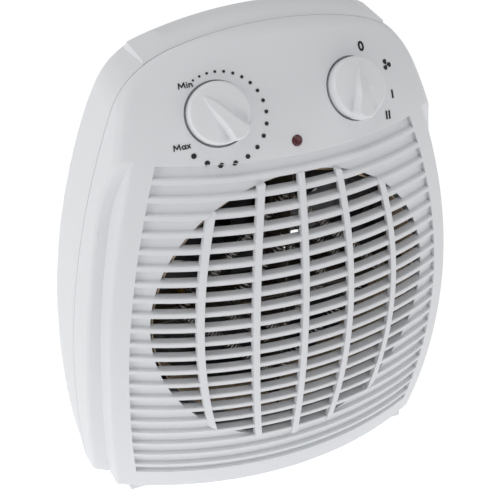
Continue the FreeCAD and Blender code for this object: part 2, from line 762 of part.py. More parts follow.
def grip_hump():
    """Low grip that swells over the top of the rear cover, and its hollow."""
    wall, top, rise = dim("wall"), dim("top_radius"), dim("hump_rise")
    y, z = dim("seam_y") + dim("seam_gap"), dim("top_centre_z")
    half, ramp = dim("hump_half"), dim("hump_ramp")
    outer = turned_over_top("HumpTurned", [
        (y, top - 0.9), (y + 4.5, top + 0.8 * rise), (y + 11.0, top + rise),
        (y + 19.0, top + 0.2 * rise), (y + 25.0, top - 8.0), (y + 20.0, top - 16.0)])
    inner = turned_over_top("HumpHollowTurned", [
        (y - 1.0, top - 0.9 - wall), (y + 4.5, top + 0.8 * rise - wall), (y + 11.0, top + rise - wall),
        (y + 17.5, top + 0.2 * rise - wall), (y + 21.5, top - 9.0), (y + 17.0, top - 16.0)])

    def arch(x):
        return z + math.sqrt(top ** 2 - x ** 2)

    high = half - ramp
    crest = arch(high) + rise
    foot = arch(half) - 0.6
    roof = [
        line((-half, foot), (-half, z + 100.0)),
        line((-half, z + 100.0), (half, z + 100.0)),
        line((half, z + 100.0), (half, foot)),
        line((half, foot), (high, crest)),
        arc((high, crest), (0, z + top + rise + 2.0), (-high, crest)),
        line((-high, crest), (-half, foot)),
    ]
    limit = extrude("HumpRoof", sketch("HumpRoofOutline", XZ_PLANE, (0, 0, 0), roof), (0, 1, 0), 60.0)
    inner_half = high - wall
    core = box("HumpHollowLimit", (-inner_half, -5, z + 100.0), (2 * inner_half, 60, 120))
    return common("Hump", [outer, limit]), common("HumpHollow", [inner, core])


def make_rear_cover(casing):
    wall = dim("wall")
    start = dim("seam_y") + dim("seam_gap")
    body = common("RearBody", [casing, half_space("RearHalf", start, 80.0), back_block("Back", 0.0),
                               tapered_block("RearTaper", -0.3)])
    doc.recompute()
    rear_edges = edges_near(body.Shape, is_rear_edge)
    rounded_body = fillet_edges("RearRounded", body, [(n, dim("back_round")) for n in rear_edges])
    hollow = common("RearHollow", [
        half_space("RearHollowHalf", start - 0.2, 80.0),
        back_block("BackHollow", wall),
        tapered_block("RearHollowTaper", wall - 0.3),
    ])
    doc.recompute()
    inner_edges = edges_near(hollow.Shape, is_rear_edge)
    rounded_hollow = fillet_edges("RearHollowRounded", hollow,
                                  [(n, dim("back_round") - wall) for n in inner_edges])
    hump, hump_hollow = grip_hump()
    outside = fuse("RearOutside", [rounded_body, hump])
    inside = fuse("RearInside", [rounded_hollow, hump_hollow])
    shell = cut("RearShell", outside, inside)
    towers, holes = [], []
    for number, (x, z) in enumerate(screw_points()):
        towers.append(cylinder_y("RearTower%d" % number, 6.0, 60.0, (x, start, z)))
        holes.append(cylinder_y("RearCounterbore%d" % number, 4.0, 60.0, (x, start + 14.0, z)))
        holes.append(cylinder_y("RearScrewHole%d" % number, "Dims.screw_radius + 0.3", 30.0,
                                (x, start - 5.0, z)))
    towers.append(box("TerminalPlinth", (6.0, 40.0, 15.0), (20.0, 20.0, 18.0)))
    mask = common("RearMask", [tapered_block("RearMaskTaper", wall / 2 - 0.3),
                               half_space("RearMaskHalf", start, 80.0),
                               back_block("RearMaskBack", wall / 2)])
    parts = common("RearTowers", [compound("RearTowerSet", towers), mask])
    feet = [box("RearFoot" + tag, (s * dim("foot_x") - dim("foot_width") / 2, dim("rear_foot_y"), 0),
                ("Dims.foot_width", "Dims.foot_length", "Dims.floor_z + 0.4"))
            for s, tag in ((-1, "Left"), (1, "Right"))]
    holes.append(intake_slots())
    holes.append(cylinder_y("GlandHole", dim("gland_radius") + 0.2, 30.0,
                            (dim("gland_x"), 35.0, dim("gland_z"))))
    whole = fuse("RearWhole", [shell, parts] + feet)
    keep("rear_cover", cut("RearCover", whole, compound("RearHoles", holes)))


def is_rear_edge(edge, middle):
    """Edge round the back, apart from the floor."""
    ends = [v.Point for v in edge.Vertexes]
    level = max(p.z for p in ends) < dim("floor_z") + dim("wall") + 0.5
    across = abs(ends[0].x + ends[-1].x) < 0.5 and middle.z < dim("top_centre_z") + 150.0
    along = abs(ends[0].y - ends[-1].y) > 12.0 and abs(ends[0].z - ends[-1].z) < 0.5
    return middle.y > 20.0 and not level and not across and not along


def intake_slots():
    """Level air slots inside a circle, left whole at three upright bars."""
    slots = []
    z, reach, pitch, height = dim("fan_z"), 58.0, 9.0, 4.0
    count = int(reach // pitch)
    for row in range(-count, count + 1):
        slots.append(box("Intake%d" % (row + count), (-reach, 36.0, z + row * pitch - height / 2),
                         (2 * reach, 30.0, height)))
    bars = [box("IntakeBar%d" % n, (x - 1.6, 30.0, z - reach - 2), (3.2, 40.0, 2 * reach + 4))
            for n, x in enumerate((-30.0, 0.0, 30.0))]
    disc = cylinder_y("IntakeDisc", reach, 30.0, (0, 36.0, z))
    return cut("IntakeSlots", common("IntakeRows", [compound("IntakeSet", slots), disc]),
               compound("IntakeBars", bars))


# ---------------------------------------------------------------- controls
def make_knob(node, side, pointer_turn):
    """Round knob with a raised fin; the fin's tip points pointer_turn degrees clockwise of up."""
    radius, rim = dim("knob_radius"), dim("knob_height")
    low = 1.0 - dim("recess_depth")
    set_turn = FreeCAD.Placement(V(0, 0, 0), FreeCAD.Rotation(V(0, 0, 1), -pointer_turn))
    item = new_body(node, control_placement(side, 0.0).multiply(set_turn))
    turned(item, node + "Disc", [
        (0, low), (radius - 0.2, low), (radius, low + 0.3), (radius, rim - 3.4),
        (radius - 0.3, rim - 2.2), (radius - 0.9, rim - 1.2), (radius - 1.9, rim - 0.5),
        (radius - 3.4, rim), (radius * 0.5, rim + 0.6), (0, rim + 0.8)])
    doc.recompute()
    tip, tail = radius * 0.66, -radius - 0.9
    fin_low, fin_high = low + 1.0, rim + 4.6
    padded(item, node + "Fin", [
        arc((-4.4, tail + 3.1), (-2.0, 0.0), (-0.8, tip)),
        arc((-0.8, tip), (0, tip + 0.8), (0.8, tip)),
        arc((0.8, tip), (2.0, 0.0), (4.4, tail + 3.1)),
        arc((4.4, tail + 3.1), (0, tail), (-4.4, tail + 3.1)),
    ], fin_low, fin_high - fin_low)
    slope = body_sketch(item, node + "SlopeProfile", "YZ_Plane", polyline([
        (tip + 3.0, rim + 0.9), (tip + 3.0, rim + 9.0), (tail - 3.0, rim + 9.0),
        (tail - 3.0, rim + 3.9)]))
    doc.recompute()
    slope_cut = item.newObject("PartDesign::Pocket", node + "Slope")
    slope_cut.Profile = slope
    slope_cut.Midplane = True
    slope_cut.Length = 4 * radius
    doc.recompute()
    pocketed(item, node + "Bore", [circle(dim("spindle_radius") + dim("running_gap"))], low - 0.5, 6.5)


def make_controls():
    for side, tag, pointer in ((-1, "thermostat", THERMOSTAT_REST), (1, "selector", SELECTOR_REST)):
        make_knob(tag + "_knob", side, pointer)
        low = -dim("recess_depth") - dim("wall")
        shaft = new_body(tag + "_shaft", control_placement(side, 0.0))
        padded(shaft, tag + "Spindle", [circle(dim("spindle_radius"))], low - 9.0, 9.0 + 4.4 + 4.2)
        housing = new_body(tag + "_body", control_placement(side, 0.0))
        padded(housing, tag + "Flange", rectangle(34.0, 13.0), low - 1.2, 1.2)
        if side < 0:
            padded(housing, tag + "Case", [circle(11.5)], low - 12.0, 10.8)
        else:
            padded(housing, tag + "Case", rectangle(23.0, 20.0), low - 15.0, 13.8)
        for x in (-8.0, 0.0, 8.0):
            padded(housing, tag + "Tab%d" % (x + 8), rectangle(4.8, 0.8, x, 3.0), low - 21.0, 9.5)
        doc.recompute()
        pocketed(housing, tag + "Bore", [circle(dim("spindle_radius") + dim("running_gap"))],
                 low - 9.2, 10.0)
        pocketed(housing, tag + "ScrewHoles", [circle(1.5, s * 14.0, 0) for s in (-1, 1)],
                 low - 2.0, 3.0)


def make_control_screws():
    low = -dim("recess_depth") - dim("wall")
    screws = []
    for side, tag in ((-1, "Left"), (1, "Right")):
        for x in (-14.0, 14.0):
            base = control_placement(side, 0.0)
            name = "ControlScrew%s%s" % (tag, "A" if x < 0 else "B")
            shank = cylinder_at(name, 1.4, 3.2, base.multiply(
                FreeCAD.Placement(V(x, 0, low - 1.3), FreeCAD.Rotation())))
            head = cylinder_at(name + "Head", 2.3, 1.5, base.multiply(
                FreeCAD.Placement(V(x, 0, low - 2.72), FreeCAD.Rotation())))
            screws.append(fuse(name + "Whole", [shank, head]))
    keep("control_screws", compound("ControlScrews", screws))


def make_pilot_light():
    lens = new_body("pilot_lens", lens_placement(0.0))
    r, wall = dim("lens_radius"), dim("wall")
    turned(lens, "LensBody", [(0, -wall - 3.0), (r - 1.0, -wall - 3.0), (r + 1.2, -wall - 1.2),
                              (r + 1.2, -wall - 0.3), (r, -wall - 0.3), (r, 0.2), (r - 0.7, 0.8), (0, 1.1)])
    lamp = new_body("pilot_lamp", lens_placement(0.0))
    turned(lamp, "LampBody", [(0, -wall - 17.0), (1.2, -wall - 17.0), (2.3, -wall - 14.5),
                              (2.3, -wall - 5.5), (1.5, -wall - 3.8), (0, -wall - 3.4)])


# ---------------------------------------------------------------- fan duct and heater
def make_fan_duct():
    front, rear = dim("duct_front"), dim("duct_rear")
    inner, wall = dim("duct_radius"), dim("duct_wall")
    length = rear - front
    lip = dim("liner_radius") + 0.2
    item = new_body("fan_duct", along_fan_axis(front))
    turned(item, "DuctTube", [(inner, 0), (lip, 0), (lip, -4.0), (lip + 1.8, -4.0), (lip + 1.8, 2.0),
                              (inner + wall, 2.0), (inner + wall, length), (inner, length)])
    offset = dim("duct_post")
    for number, (sx, sy) in enumerate(((-1, -1), (-1, 1), (1, -1), (1, 1))):
        ear = rectangle(20.0, 20.0, sx * (offset - 5.0), sy * (offset - 5.0))
        padded(item, "DuctEar%d" % number, ear, 0.0, 2.0)
    doc.recompute()
    pocketed(item, "DuctThroat", [circle(inner)], -1.0, 4.0)
    padded(item, "DuctHub", [circle(24.0)], length - 3.0, 3.0)
    for number, angle in enumerate((90.0, 210.0, 330.0)):
        padded(item, "DuctArm%d" % number, radial_strip(angle, 22.0, inner + 0.5, 7.0), length - 3.0, 3.0)
    for sx in (-1, 1):
        padded(item, "DuctSpacer%d" % (sx + 1), [circle(3.4, sx * 19.0, 0)], length - 1.0,
               dim("stack_front") - 1.2 - rear + 1.0)
    doc.recompute()
    pocketed(item, "DuctHubBore", [circle(6.5)], length - 5.0, 9.0)
    pocketed(item, "DuctMotorHoles", [circle(1.5, s * 19.0, 0) for s in (-1, 1)], length - 5.0, 12.0)
    pocketed(item, "DuctEarHoles", [circle(dim("screw_radius") + 0.3, sx * offset, sy * offset)
                                    for sx in (-1, 1) for sy in (-1, 1)], -1.0, 5.0)


def radial_strip(angle, start, end, width):
    """Flat strip outline that runs outwards at an angle."""
    c, s = math.cos(math.radians(angle)), math.sin(math.radians(angle))
    half = width / 2
    corners = [(start, -half), (end, -half), (end, half), (start, half)]
    return polyline([(x * c - y * s, x * s + y * c) for x, y in corners])


def make_mica_parts():
    thickness = dim("mica_thickness")
    front = dim("liner_front")
    liner = new_body("mica_liner", along_fan_axis(front))
    outer = dim("liner_radius")
    turned(liner, "LinerTube", [(outer - thickness, 0), (outer, 0),
                                (outer, dim("duct_front") - front), (outer - thickness,
                                                                     dim("duct_front") - front)])
    half, depth = dim("board_half"), dim("board_depth")
    z, y = dim("fan_z"), dim("board_front")
    half_slot = thickness / 2 + 0.1
    upright = box("UprightSheet", (-thickness / 2, y, z - half), (thickness, depth, 2 * half))
    upright_slot = box("UprightSlot", (-2, y - 1, z - half_slot), (4, depth / 2 + 1.1, 2 * half_slot))
    level = box("LevelSheet", (-half, y, z - thickness / 2), (2 * half, depth, thickness))
    level_slot = box("LevelSlot", (-half_slot, y + depth / 2 - 0.1, z - 2),
                     (2 * half_slot, depth / 2 + 1.1, 4))
    holes_level, holes_upright = [], []
    for ring, (radius, ring_y) in enumerate(COIL_RINGS):
        for sign, tag in ((-1, "A"), (1, "B")):
            name = "CoilHole%d%s" % (ring, tag)
            holes_level.append(box(name + "Level", (sign * radius - 4.2, ring_y - 3.2, z - 2),
                                   (8.4, 6.4, 4)))
            holes_upright.append(box(name + "Upright", (-2, ring_y - 3.2, z + sign * radius - 4.2),
                                     (4, 6.4, 8.4)))
    for x in TERMINAL_X:
        holes_level.append(cylinder_at("RivetHole%d" % (x + 99), 1.25, 4.0,
                                       FreeCAD.Placement(V(x, TERMINAL_Y, z - 2), FreeCAD.Rotation())))
    keep("mica_board_upright", cut("UprightBoard", upright,
                                   compound("UprightHoles", [upright_slot] + holes_upright)))
    keep("mica_board_level", cut("LevelBoard", level, compound("LevelHoles", [level_slot] + holes_level)))


COIL_RINGS = ((54.0, -24.0), (40.0, -13.0), (26.0, -24.0))
TERMINAL_X = (-64.5, -46.5, 46.5, 64.5)
TERMINAL_Y = -9.5
THERMOSTAT_REST = -35.0
SELECTOR_REST = 8.0


def coil_strand(name, radius, y, quarter):
    """One straight run of coiled wire, between two mica boards, as a hollow cylinder."""
    z = dim("fan_z")
    start_angle, end_angle = math.radians(90 * quarter), math.radians(90 * quarter + 90)
    a = V(radius * math.cos(start_angle), y, z + radius * math.sin(start_angle))
    b = V(radius * math.cos(end_angle), y, z + radius * math.sin(end_angle))
    along = (b - a).normalize()
    a, b = a + along * 1.0, b - along * 1.0
    turn = FreeCAD.Rotation(V(0, 0, 1), along)
    place = FreeCAD.Placement(a, turn)
    length = (b - a).Length
    outer = cylinder_at(name + "Outer", "Dims.coil_radius", length, place)
    bore = cylinder_at(name + "Bore", "Dims.coil_radius - 0.9", length, place)
    return cut(name, outer, bore)


def make_coils():
    for node, rings in (("heater_coil_front", (0, 2)), ("heater_coil_rear", (1,))):
        strands = []
        for ring in rings:
            radius, y = COIL_RINGS[ring]
            strands += [coil_strand("%s_%d_%d" % (node, ring, q), radius, y, q) for q in range(4)]
        keep(node, compound(node + "Set", strands))
    rivets = []
    for x in TERMINAL_X:
        name = "Rivet%d" % (x + 99)
        base = FreeCAD.Placement(V(x, TERMINAL_Y, dim("fan_z")), FreeCAD.Rotation())
        shank = cylinder_at(name, 1.2, 4.4, base.multiply(
            FreeCAD.Placement(V(0, 0, -2.2), FreeCAD.Rotation())))
        head = cylinder_at(name + "Head", 2.4, 0.8, base.multiply(
            FreeCAD.Placement(V(0, 0, 0.42), FreeCAD.Rotation())))
        tail = cylinder_at(name + "Tail", 2.4, 0.8, base.multiply(
            FreeCAD.Placement(V(0, 0, -1.22), FreeCAD.Rotation())))
        rivets.append(fuse(name + "Whole", [shank, head, tail]))
    keep("coil_terminals", compound("CoilTerminals", rivets))


def make_protection():
    """Bimetal cut-out on top of the level board and thermal fuse beneath it."""
    top = dim("fan_z") + dim("mica_thickness") / 2
    cutout = new_body("thermal_cutout", FreeCAD.Placement(V(-12.0, -18.0, top), FreeCAD.Rotation()))
    turned(cutout, "CutoutCase", [(0, 0.02), (5.0, 0.02), (5.0, 3.2), (3.8, 3.8), (3.8, 4.6), (0, 4.6)])
    fuse_place = FreeCAD.Placement(V(7.0, -18.0, top - dim("mica_thickness") - 2.1),
                                   FreeCAD.Rotation(V(0, 1, 0), 90))
    thermal = new_body("thermal_fuse", fuse_place)
    turned(thermal, "FuseCase", [(0, -4.0), (0.5, -4.0), (0.5, 0), (2.0, 0.6), (2.0, 10.0), (1.2, 11.5),
                                 (0.5, 12.0), (0.5, 15.0), (0, 15.0)])


# ---------------------------------------------------------------- motor and impeller
def make_motor():
    front, depth = dim("stack_front"), dim("stack_depth")
    shaft = dim("shaft_radius")
    bore = dim("rotor_radius") + 0.4
    stator = new_body("motor_stator", along_fan_axis(front, 180.0))
    padded(stator, "StatorStack", rectangle(50.0, 62.0, 0.0, 12.0), 0.0, "Dims.stack_depth")
    doc.recompute()
    pocketed(stator, "StatorBore", [circle(bore)], -1.0, depth + 2)
    pocketed(stator, "StatorWindow", rectangle(26.0, 11.5, 0.0, 23.0), -1.0, depth + 2)
    pocketed(stator, "StatorSideWindows", rectangle(5.0, 24.0, -21.6, 31.5), -1.0, depth + 2)
    pocketed(stator, "StatorSideWindow", rectangle(5.0, 24.0, 21.6, 31.5), -1.0, depth + 2)
    pocketed(stator, "StatorHoles", [circle(1.6, s * 19.0, 0) for s in (-1, 1)], -1.0, depth + 2)
    coil = new_body("motor_coil", along_fan_axis(front, 180.0))
    padded(coil, "CoilWinding", rectangle(24.0, 27.0, 0.0, 35.4), -3.4, depth + 6.8)
    doc.recompute()
    pocketed(coil, "CoilCore", rectangle(30.0, 14.7, 0.0, 36.0), -0.15, depth + 0.3)
    rotor = new_body("motor_rotor", along_fan_axis(front))
    turned(rotor, "RotorDrum", [(shaft, -1.0), (dim("rotor_radius") - 2, -1.0),
                                (dim("rotor_radius") - 2, 0.2), (dim("rotor_radius"), 0.2),
                                (dim("rotor_radius"), depth - 0.2), (dim("rotor_radius") - 2, depth - 0.2),
                                (dim("rotor_radius") - 2, depth - 0.1), (shaft, depth - 0.1)])
    spindle = new_body("motor_shaft", along_fan_axis(0.0))
    turned(spindle, "ShaftRod", [(0, 1.6), (shaft - 0.4, 1.6), (shaft, 2.0), (shaft, 45.4),
                                 (shaft - 0.3, 45.7), (0, 45.7)])
    running = shaft + dim("running_gap")
    front_bridge = new_body("motor_bridge_front", along_fan_axis(front))
    padded(front_bridge, "FrontBridgePlate", rectangle(48.0, 13.0), -1.2, 1.2)
    padded(front_bridge, "FrontBridgeBoss", [circle(5.8)], -5.4, 4.4)
    rear_bridge = new_body("motor_bridge_rear", along_fan_axis(front + depth))
    padded(rear_bridge, "RearBridgePlate", rectangle(48.0, 13.0), 0.0, 1.2)
    padded(rear_bridge, "RearBridgeBoss", [circle(5.8)], 1.0, 5.0)
    doc.recompute()
    for bridge, tag, low in ((front_bridge, "Front", -7.0), (rear_bridge, "Rear", -1.0)):
        pocketed(bridge, tag + "BridgeBore", [circle(running)], low, 9.0)
        pocketed(bridge, tag + "BridgeHoles", [circle(1.6, s * 19.0, 0) for s in (-1, 1)], low, 9.0)
    pocketed(front_bridge, "FrontBridgeRelief", [circle(dim("rotor_radius") - 1.5)], -1.35 + 0.25, 2.0)
    screws = []
    for sx, tag in ((-1, "Left"), (1, "Right")):
        z, end = dim("fan_z"), front + depth + 1.2
        shank = cylinder_y("MotorScrew" + tag, 1.5, end - 23.5, (sx * 19.0, 23.5, z))
        head = cylinder_y("MotorScrewHead" + tag, 2.8, 1.8, (sx * 19.0, end, z))
        screws.append(fuse("MotorScrewWhole" + tag, [shank, head]))
    keep("motor_screws", compound("MotorScrews", screws))


def blade_section(name, radius, chord, pitch_angle, camber):
    """Cambered blade section on a plane at a distance from the fan axis."""
    tilt = math.radians(pitch_angle)
    half, thick = chord / 2, 0.8

    def turn(x, y):
        return (x * math.cos(tilt) - y * math.sin(tilt), x * math.sin(tilt) + y * math.cos(tilt))

    upper = [turn(-half, thick), turn(0, camber + thick), turn(half, thick)]
    lower = [turn(half, -thick), turn(0, camber - thick), turn(-half, -thick)]
    plane = FreeCAD.Rotation(V(1, 1, 1), 120)
    edges = [arc(*upper), line(upper[2], lower[0]), arc(*lower), line(lower[2], upper[0])]
    item = sketch(name, plane, (radius, 0, 0), edges)
    return item


def make_impeller():
    front, depth = dim("hub_front"), dim("hub_depth")
    tip, hub = dim("fan_radius"), dim("hub_radius")
    root_section = blade_section("BladeRoot", hub - 1.0, 17.0, 48.0, 1.5)
    tip_section = blade_section("BladeTip", tip + 1.0, 34.0, 22.0, 3.0)
    blade = doc.addObject("Part::Loft", "BladeLoft")
    blade.Sections = [root_section, tip_section]
    blade.Solid = True
    blade.Ruled = True
    sweep_disc = doc.addObject("Part::Cylinder", "BladeSweep")
    sweep_disc.setExpression("Radius", "Dims.fan_radius")
    sweep_disc.Height = 40.0
    sweep_disc.Placement = FreeCAD.Placement(V(0, 0, -20), FreeCAD.Rotation())
    trimmed = common("BladeTrimmed", [blade, sweep_disc])
    doc.recompute()
    hub_wall = 1.6
    spinner = Part.makeCylinder(hub, depth).cut(
        Part.makeCylinder(hub - hub_wall, depth, V(0, 0, 2.0)))
    boss = Part.makeCylinder(4.2, depth - 1.0)
    shape = spinner.fuse(boss)
    for number in range(int(dim("blade_count"))):
        one = trimmed.Shape.copy()
        one.translate(V(0, 0, depth / 2))
        one.rotate(V(0, 0, 0), V(0, 0, 1), 360.0 * number / dim("blade_count"))
        shape = shape.fuse(one.cut(Part.makeCylinder(hub - hub_wall / 2, 60.0, V(0, 0, -20))))
    shape = shape.cut(Part.makeCylinder(dim("shaft_radius"), 60.0, V(0, 0, -10)))
    impeller = shaped("Impeller", shape.removeSplitter())
    impeller.Placement = along_fan_axis(front)
    keep("impeller", impeller)


# ---------------------------------------------------------------- fasteners and mains entry
def make_cover_screws():
    start = dim("seam_y") + dim("seam_gap")
    cover, duct = [], []
    for number, (x, z) in enumerate(screw_points()):
        shank = cylinder_y("CoverScrew%d" % number, "Dims.screw_radius", 30.0, (x, start + 14.0 - 30.0, z))
        head = cylinder_y("CoverScrewHead%d" % number, 3.4, 2.2, (x, start + 14.0, z))
        cross = box("CoverScrewCross%d" % number, (x - 2.2, start + 15.2, z - 0.5), (4.4, 2.0, 1.0))
        cross_up = box("CoverScrewCrossUp%d" % number, (x - 0.5, start + 15.2, z - 2.2), (1.0, 2.0, 4.4))
        whole = fuse("CoverScrewWhole%d" % number, [shank, head])
        cover.append(cut("CoverScrewDone%d" % number, whole,
                         compound("CoverScrewDrive%d" % number, [cross, cross_up])))
    keep("cover_screws", compound("CoverScrews", cover))
    seat = dim("duct_front") + 2.0
    for number, (x, z) in enumerate(duct_posts()):
        shank = cylinder_y("DuctScrew%d" % number, "Dims.screw_radius", 12.0, (x, seat - 12.0, z))
        head = cylinder_y("DuctScrewHead%d" % number, 3.2, 2.0, (x, seat, z))
        duct.append(fuse("DuctScrewWhole%d" % number, [shank, head]))
    keep("duct_screws", compound("DuctScrews", duct))


def make_mains_entry():
    x, z, r = dim("gland_x"), dim("gland_z"), dim("gland_radius")
    place = FreeCAD.Placement(V(x, dim("gland_y"), z), TO_Y)
    gland = new_body("cord_gland", place)
    turned(gland, "GlandBody", [(3.6, -9.5), (r + 1.4, -9.5), (r + 1.4, -6.2), (r, -6.2), (r, -2.2),
                                (r + 1.6, -2.2), (r + 1.6, -0.4), (r + 0.8, 0.0), (3.6, 0.0)])
    block = new_body("terminal_block", FreeCAD.Placement(V(16.0, 39.98, 25.0), TO_Y))
    padded(block, "BlockBody", rectangle(18.0, 12.0), -11.0, 11.0)
    doc.recompute()
    pocketed(block, "BlockScrewWells", [circle(1.8, s * 4.5, 0) for s in (-1, 1)], -11.5, 5.0)


# ---------------------------------------------------------------- build
casing, brow = casing_whole()
make_front_cover(casing, brow)
make_rear_cover(casing)
make_controls()
make_control_screws()
make_pilot_light()
make_fan_duct()
make_mica_parts()
make_coils()
make_protection()
make_motor()
make_impeller()
make_cover_screws()
make_mains_entry()
doc.recompute()

problems = []
for item in doc.Objects:
    if "Invalid" in item.State or "Error" in item.State:
        problems.append("%s is %s" % (item.Name, item.State))
    if item.TypeId == "PartDesign::Pocket":
        before = item.BaseFeature.Shape.Volume
        if item.Shape.Volume > before - 0.1:
            problems.append("%s cuts nothing" % item.Name)
for node, item in NODES.items():
    if item.Shape.isNull() or not item.Shape.isValid():
        problems.append("%s has no valid shape" % node)
if problems:
    raise RuntimeError("; ".join(problems))

os.makedirs("parts", exist_ok=True)
for node, item in NODES.items():
    item.Label = node
    item.Shape.exportStep("parts/%s.step" % node)
    box_mm = item.Shape.BoundBox
    print("%-20s solids %2d  volume %9.1f  X %6.1f..%6.1f  Y %6.1f..%6.1f  Z %6.1f..%6.1f" % (
        node, len(item.Shape.Solids), item.Shape.Volume, box_mm.XMin, box_mm.XMax,
        box_mm.YMin, box_mm.YMax, box_mm.ZMin, box_mm.ZMax))
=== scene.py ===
import bpy
import bmesh
import json
import math
import random
from mathutils import Matrix, Vector
from mathutils.bvhtree import BVHTree


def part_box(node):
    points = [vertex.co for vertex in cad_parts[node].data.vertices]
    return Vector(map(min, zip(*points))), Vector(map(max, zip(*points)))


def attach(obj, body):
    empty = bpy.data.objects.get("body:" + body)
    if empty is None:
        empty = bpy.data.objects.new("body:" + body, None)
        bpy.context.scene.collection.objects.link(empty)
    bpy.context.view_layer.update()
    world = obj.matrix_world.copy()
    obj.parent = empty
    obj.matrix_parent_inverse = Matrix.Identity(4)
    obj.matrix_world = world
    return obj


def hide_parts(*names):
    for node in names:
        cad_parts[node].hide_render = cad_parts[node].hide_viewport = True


# Fan convector heater: materials, printed dial marks, moulded knobs, wound heater coils and
# studio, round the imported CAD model.
# Lengths are metres unless a name ends in _mm.

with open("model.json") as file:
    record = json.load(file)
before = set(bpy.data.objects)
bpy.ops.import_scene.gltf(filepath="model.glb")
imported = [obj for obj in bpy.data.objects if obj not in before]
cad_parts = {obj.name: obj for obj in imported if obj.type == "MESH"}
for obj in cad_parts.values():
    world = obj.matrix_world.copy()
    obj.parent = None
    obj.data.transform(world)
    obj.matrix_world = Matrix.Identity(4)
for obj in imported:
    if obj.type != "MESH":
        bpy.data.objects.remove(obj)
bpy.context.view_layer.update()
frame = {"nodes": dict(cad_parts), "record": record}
nodes = frame["nodes"]
joints = {j["name"]: j for j in frame["record"]["behaviour"]["joints"]}
MM = 0.001
FRONT_TILT = math.radians(35.0)


# ---------------------------------------------------------------- node material helpers
class Shader:
    """A principled material with short calls for its procedural detail."""

    def __init__(self, name, color, roughness, metallic=0.0):
        self.material = bpy.data.materials.new(name)
        self.material.use_nodes = True
        self.tree = self.material.node_tree
        self.surface = self.tree.nodes["Principled BSDF"]
        self.surface.inputs["Base Color"].default_value = (*color, 1.0)
        self.surface.inputs["Roughness"].default_value = roughness
        self.surface.inputs["Metallic"].default_value = metallic
        self.color = color
        self.roughness = roughness
        self.place = self.tree.nodes.new("ShaderNodeTexCoord").outputs["Object"]
        self.bump_normal = None

    def add(self, kind, **values):
        node = self.tree.nodes.new(kind)
        for key, value in values.items():
            if hasattr(node, key):
                setattr(node, key, value)
            else:
                node.inputs[key.replace("_", " ")].default_value = value
        return node

    def link(self, source, target):
        self.tree.links.new(source, target)

    def stretched(self, scale):
        mapping = self.add("ShaderNodeMapping")
        mapping.inputs["Scale"].default_value = scale
        self.link(self.place, mapping.inputs["Vector"])
        return mapping.outputs["Vector"]

    def noise(self, scale, detail=3.0, stretch=None, rough=0.5):
        node = self.add("ShaderNodeTexNoise")
        node.inputs["Scale"].default_value = scale
        node.inputs["Detail"].default_value = detail
        node.inputs["Roughness"].default_value = rough
        self.link(self.place if stretch is None else self.stretched(stretch), node.inputs["Vector"])
        return node.outputs["Fac"]

    def ramp(self, factor, low, high):
        node = self.add("ShaderNodeMapRange")
        node.inputs["From Min"].default_value = low
        node.inputs["From Max"].default_value = high
        self.link(factor, node.inputs["Value"])
        return node.outputs["Result"]

    def cells(self, scale):
        node = self.add("ShaderNodeTexVoronoi")
        node.inputs["Scale"].default_value = scale
        self.link(self.place, node.inputs["Vector"])
        return node.outputs["Distance"]

    def bands(self, direction, scale, distortion):
        node = self.add("ShaderNodeTexWave", wave_type="BANDS", bands_direction=direction)
        node.inputs["Scale"].default_value = scale
        node.inputs["Distortion"].default_value = distortion
        self.link(self.place, node.inputs["Vector"])
        return node.outputs["Fac"]

    def tint(self, factor, other):
        """Blend the base colour towards another where the factor is high."""
        mix = self.add("ShaderNodeMix", data_type="RGBA")
        mix.inputs["A"].default_value = (*self.color, 1.0)
        socket = self.surface.inputs["Base Color"]
        if socket.is_linked:
            self.link(socket.links[0].from_socket, mix.inputs["A"])
        mix.inputs["B"].default_value = (*other, 1.0)
        self.link(factor, mix.inputs["Factor"])
        self.link(mix.outputs["Result"], socket)

    def vary_roughness(self, factor, spread):
        node = self.add("ShaderNodeMapRange")
        node.inputs["To Min"].default_value = self.roughness - spread
        node.inputs["To Max"].default_value = self.roughness + spread
        self.link(factor, node.inputs["Value"])
        self.link(node.outputs["Result"], self.surface.inputs["Roughness"])

    def bump(self, height, distance_mm, strength=1.0):
        node = self.add("ShaderNodeBump")
        node.inputs["Strength"].default_value = strength
        node.inputs["Distance"].default_value = distance_mm * MM
        self.link(height, node.inputs["Height"])
        if self.bump_normal is not None:
            self.link(self.bump_normal, node.inputs["Normal"])
        self.bump_normal = node.outputs["Normal"]
        self.link(self.bump_normal, self.surface.inputs["Normal"])


def casing_plastic():
    """White moulded plastic with a fine spark-eroded grain and faint flow shading."""
    shader = Shader("casing_plastic", (0.80, 0.81, 0.83), 0.46)
    shader.surface.inputs["Specular IOR Level"].default_value = 0.42
    shader.tint(shader.ramp(shader.noise(11.0, 4.0), 0.45, 0.75), (0.775, 0.786, 0.808))
    grain = shader.noise(2300.0, 2.0)
    shader.vary_roughness(shader.noise(140.0, 4.0), 0.05)
    shader.bump(grain, 0.022, 0.6)
    shader.bump(shader.noise(60.0, 2.0), 0.05, 0.22)
    return shader.material


def rear_plastic():
    """The same plastic as the front, slightly duller."""
    shader = Shader("rear_plastic", (0.79, 0.80, 0.82), 0.48)
    shader.surface.inputs["Specular IOR Level"].default_value = 0.42
    shader.tint(shader.ramp(shader.noise(9.0, 5.0), 0.5, 0.8), (0.765, 0.772, 0.79))
    shader.vary_roughness(shader.noise(90.0, 4.0), 0.06)
    shader.bump(shader.noise(1900.0, 2.0), 0.026, 0.7)
    shader.bump(shader.noise(45.0, 2.0), 0.06, 0.22)
    return shader.material


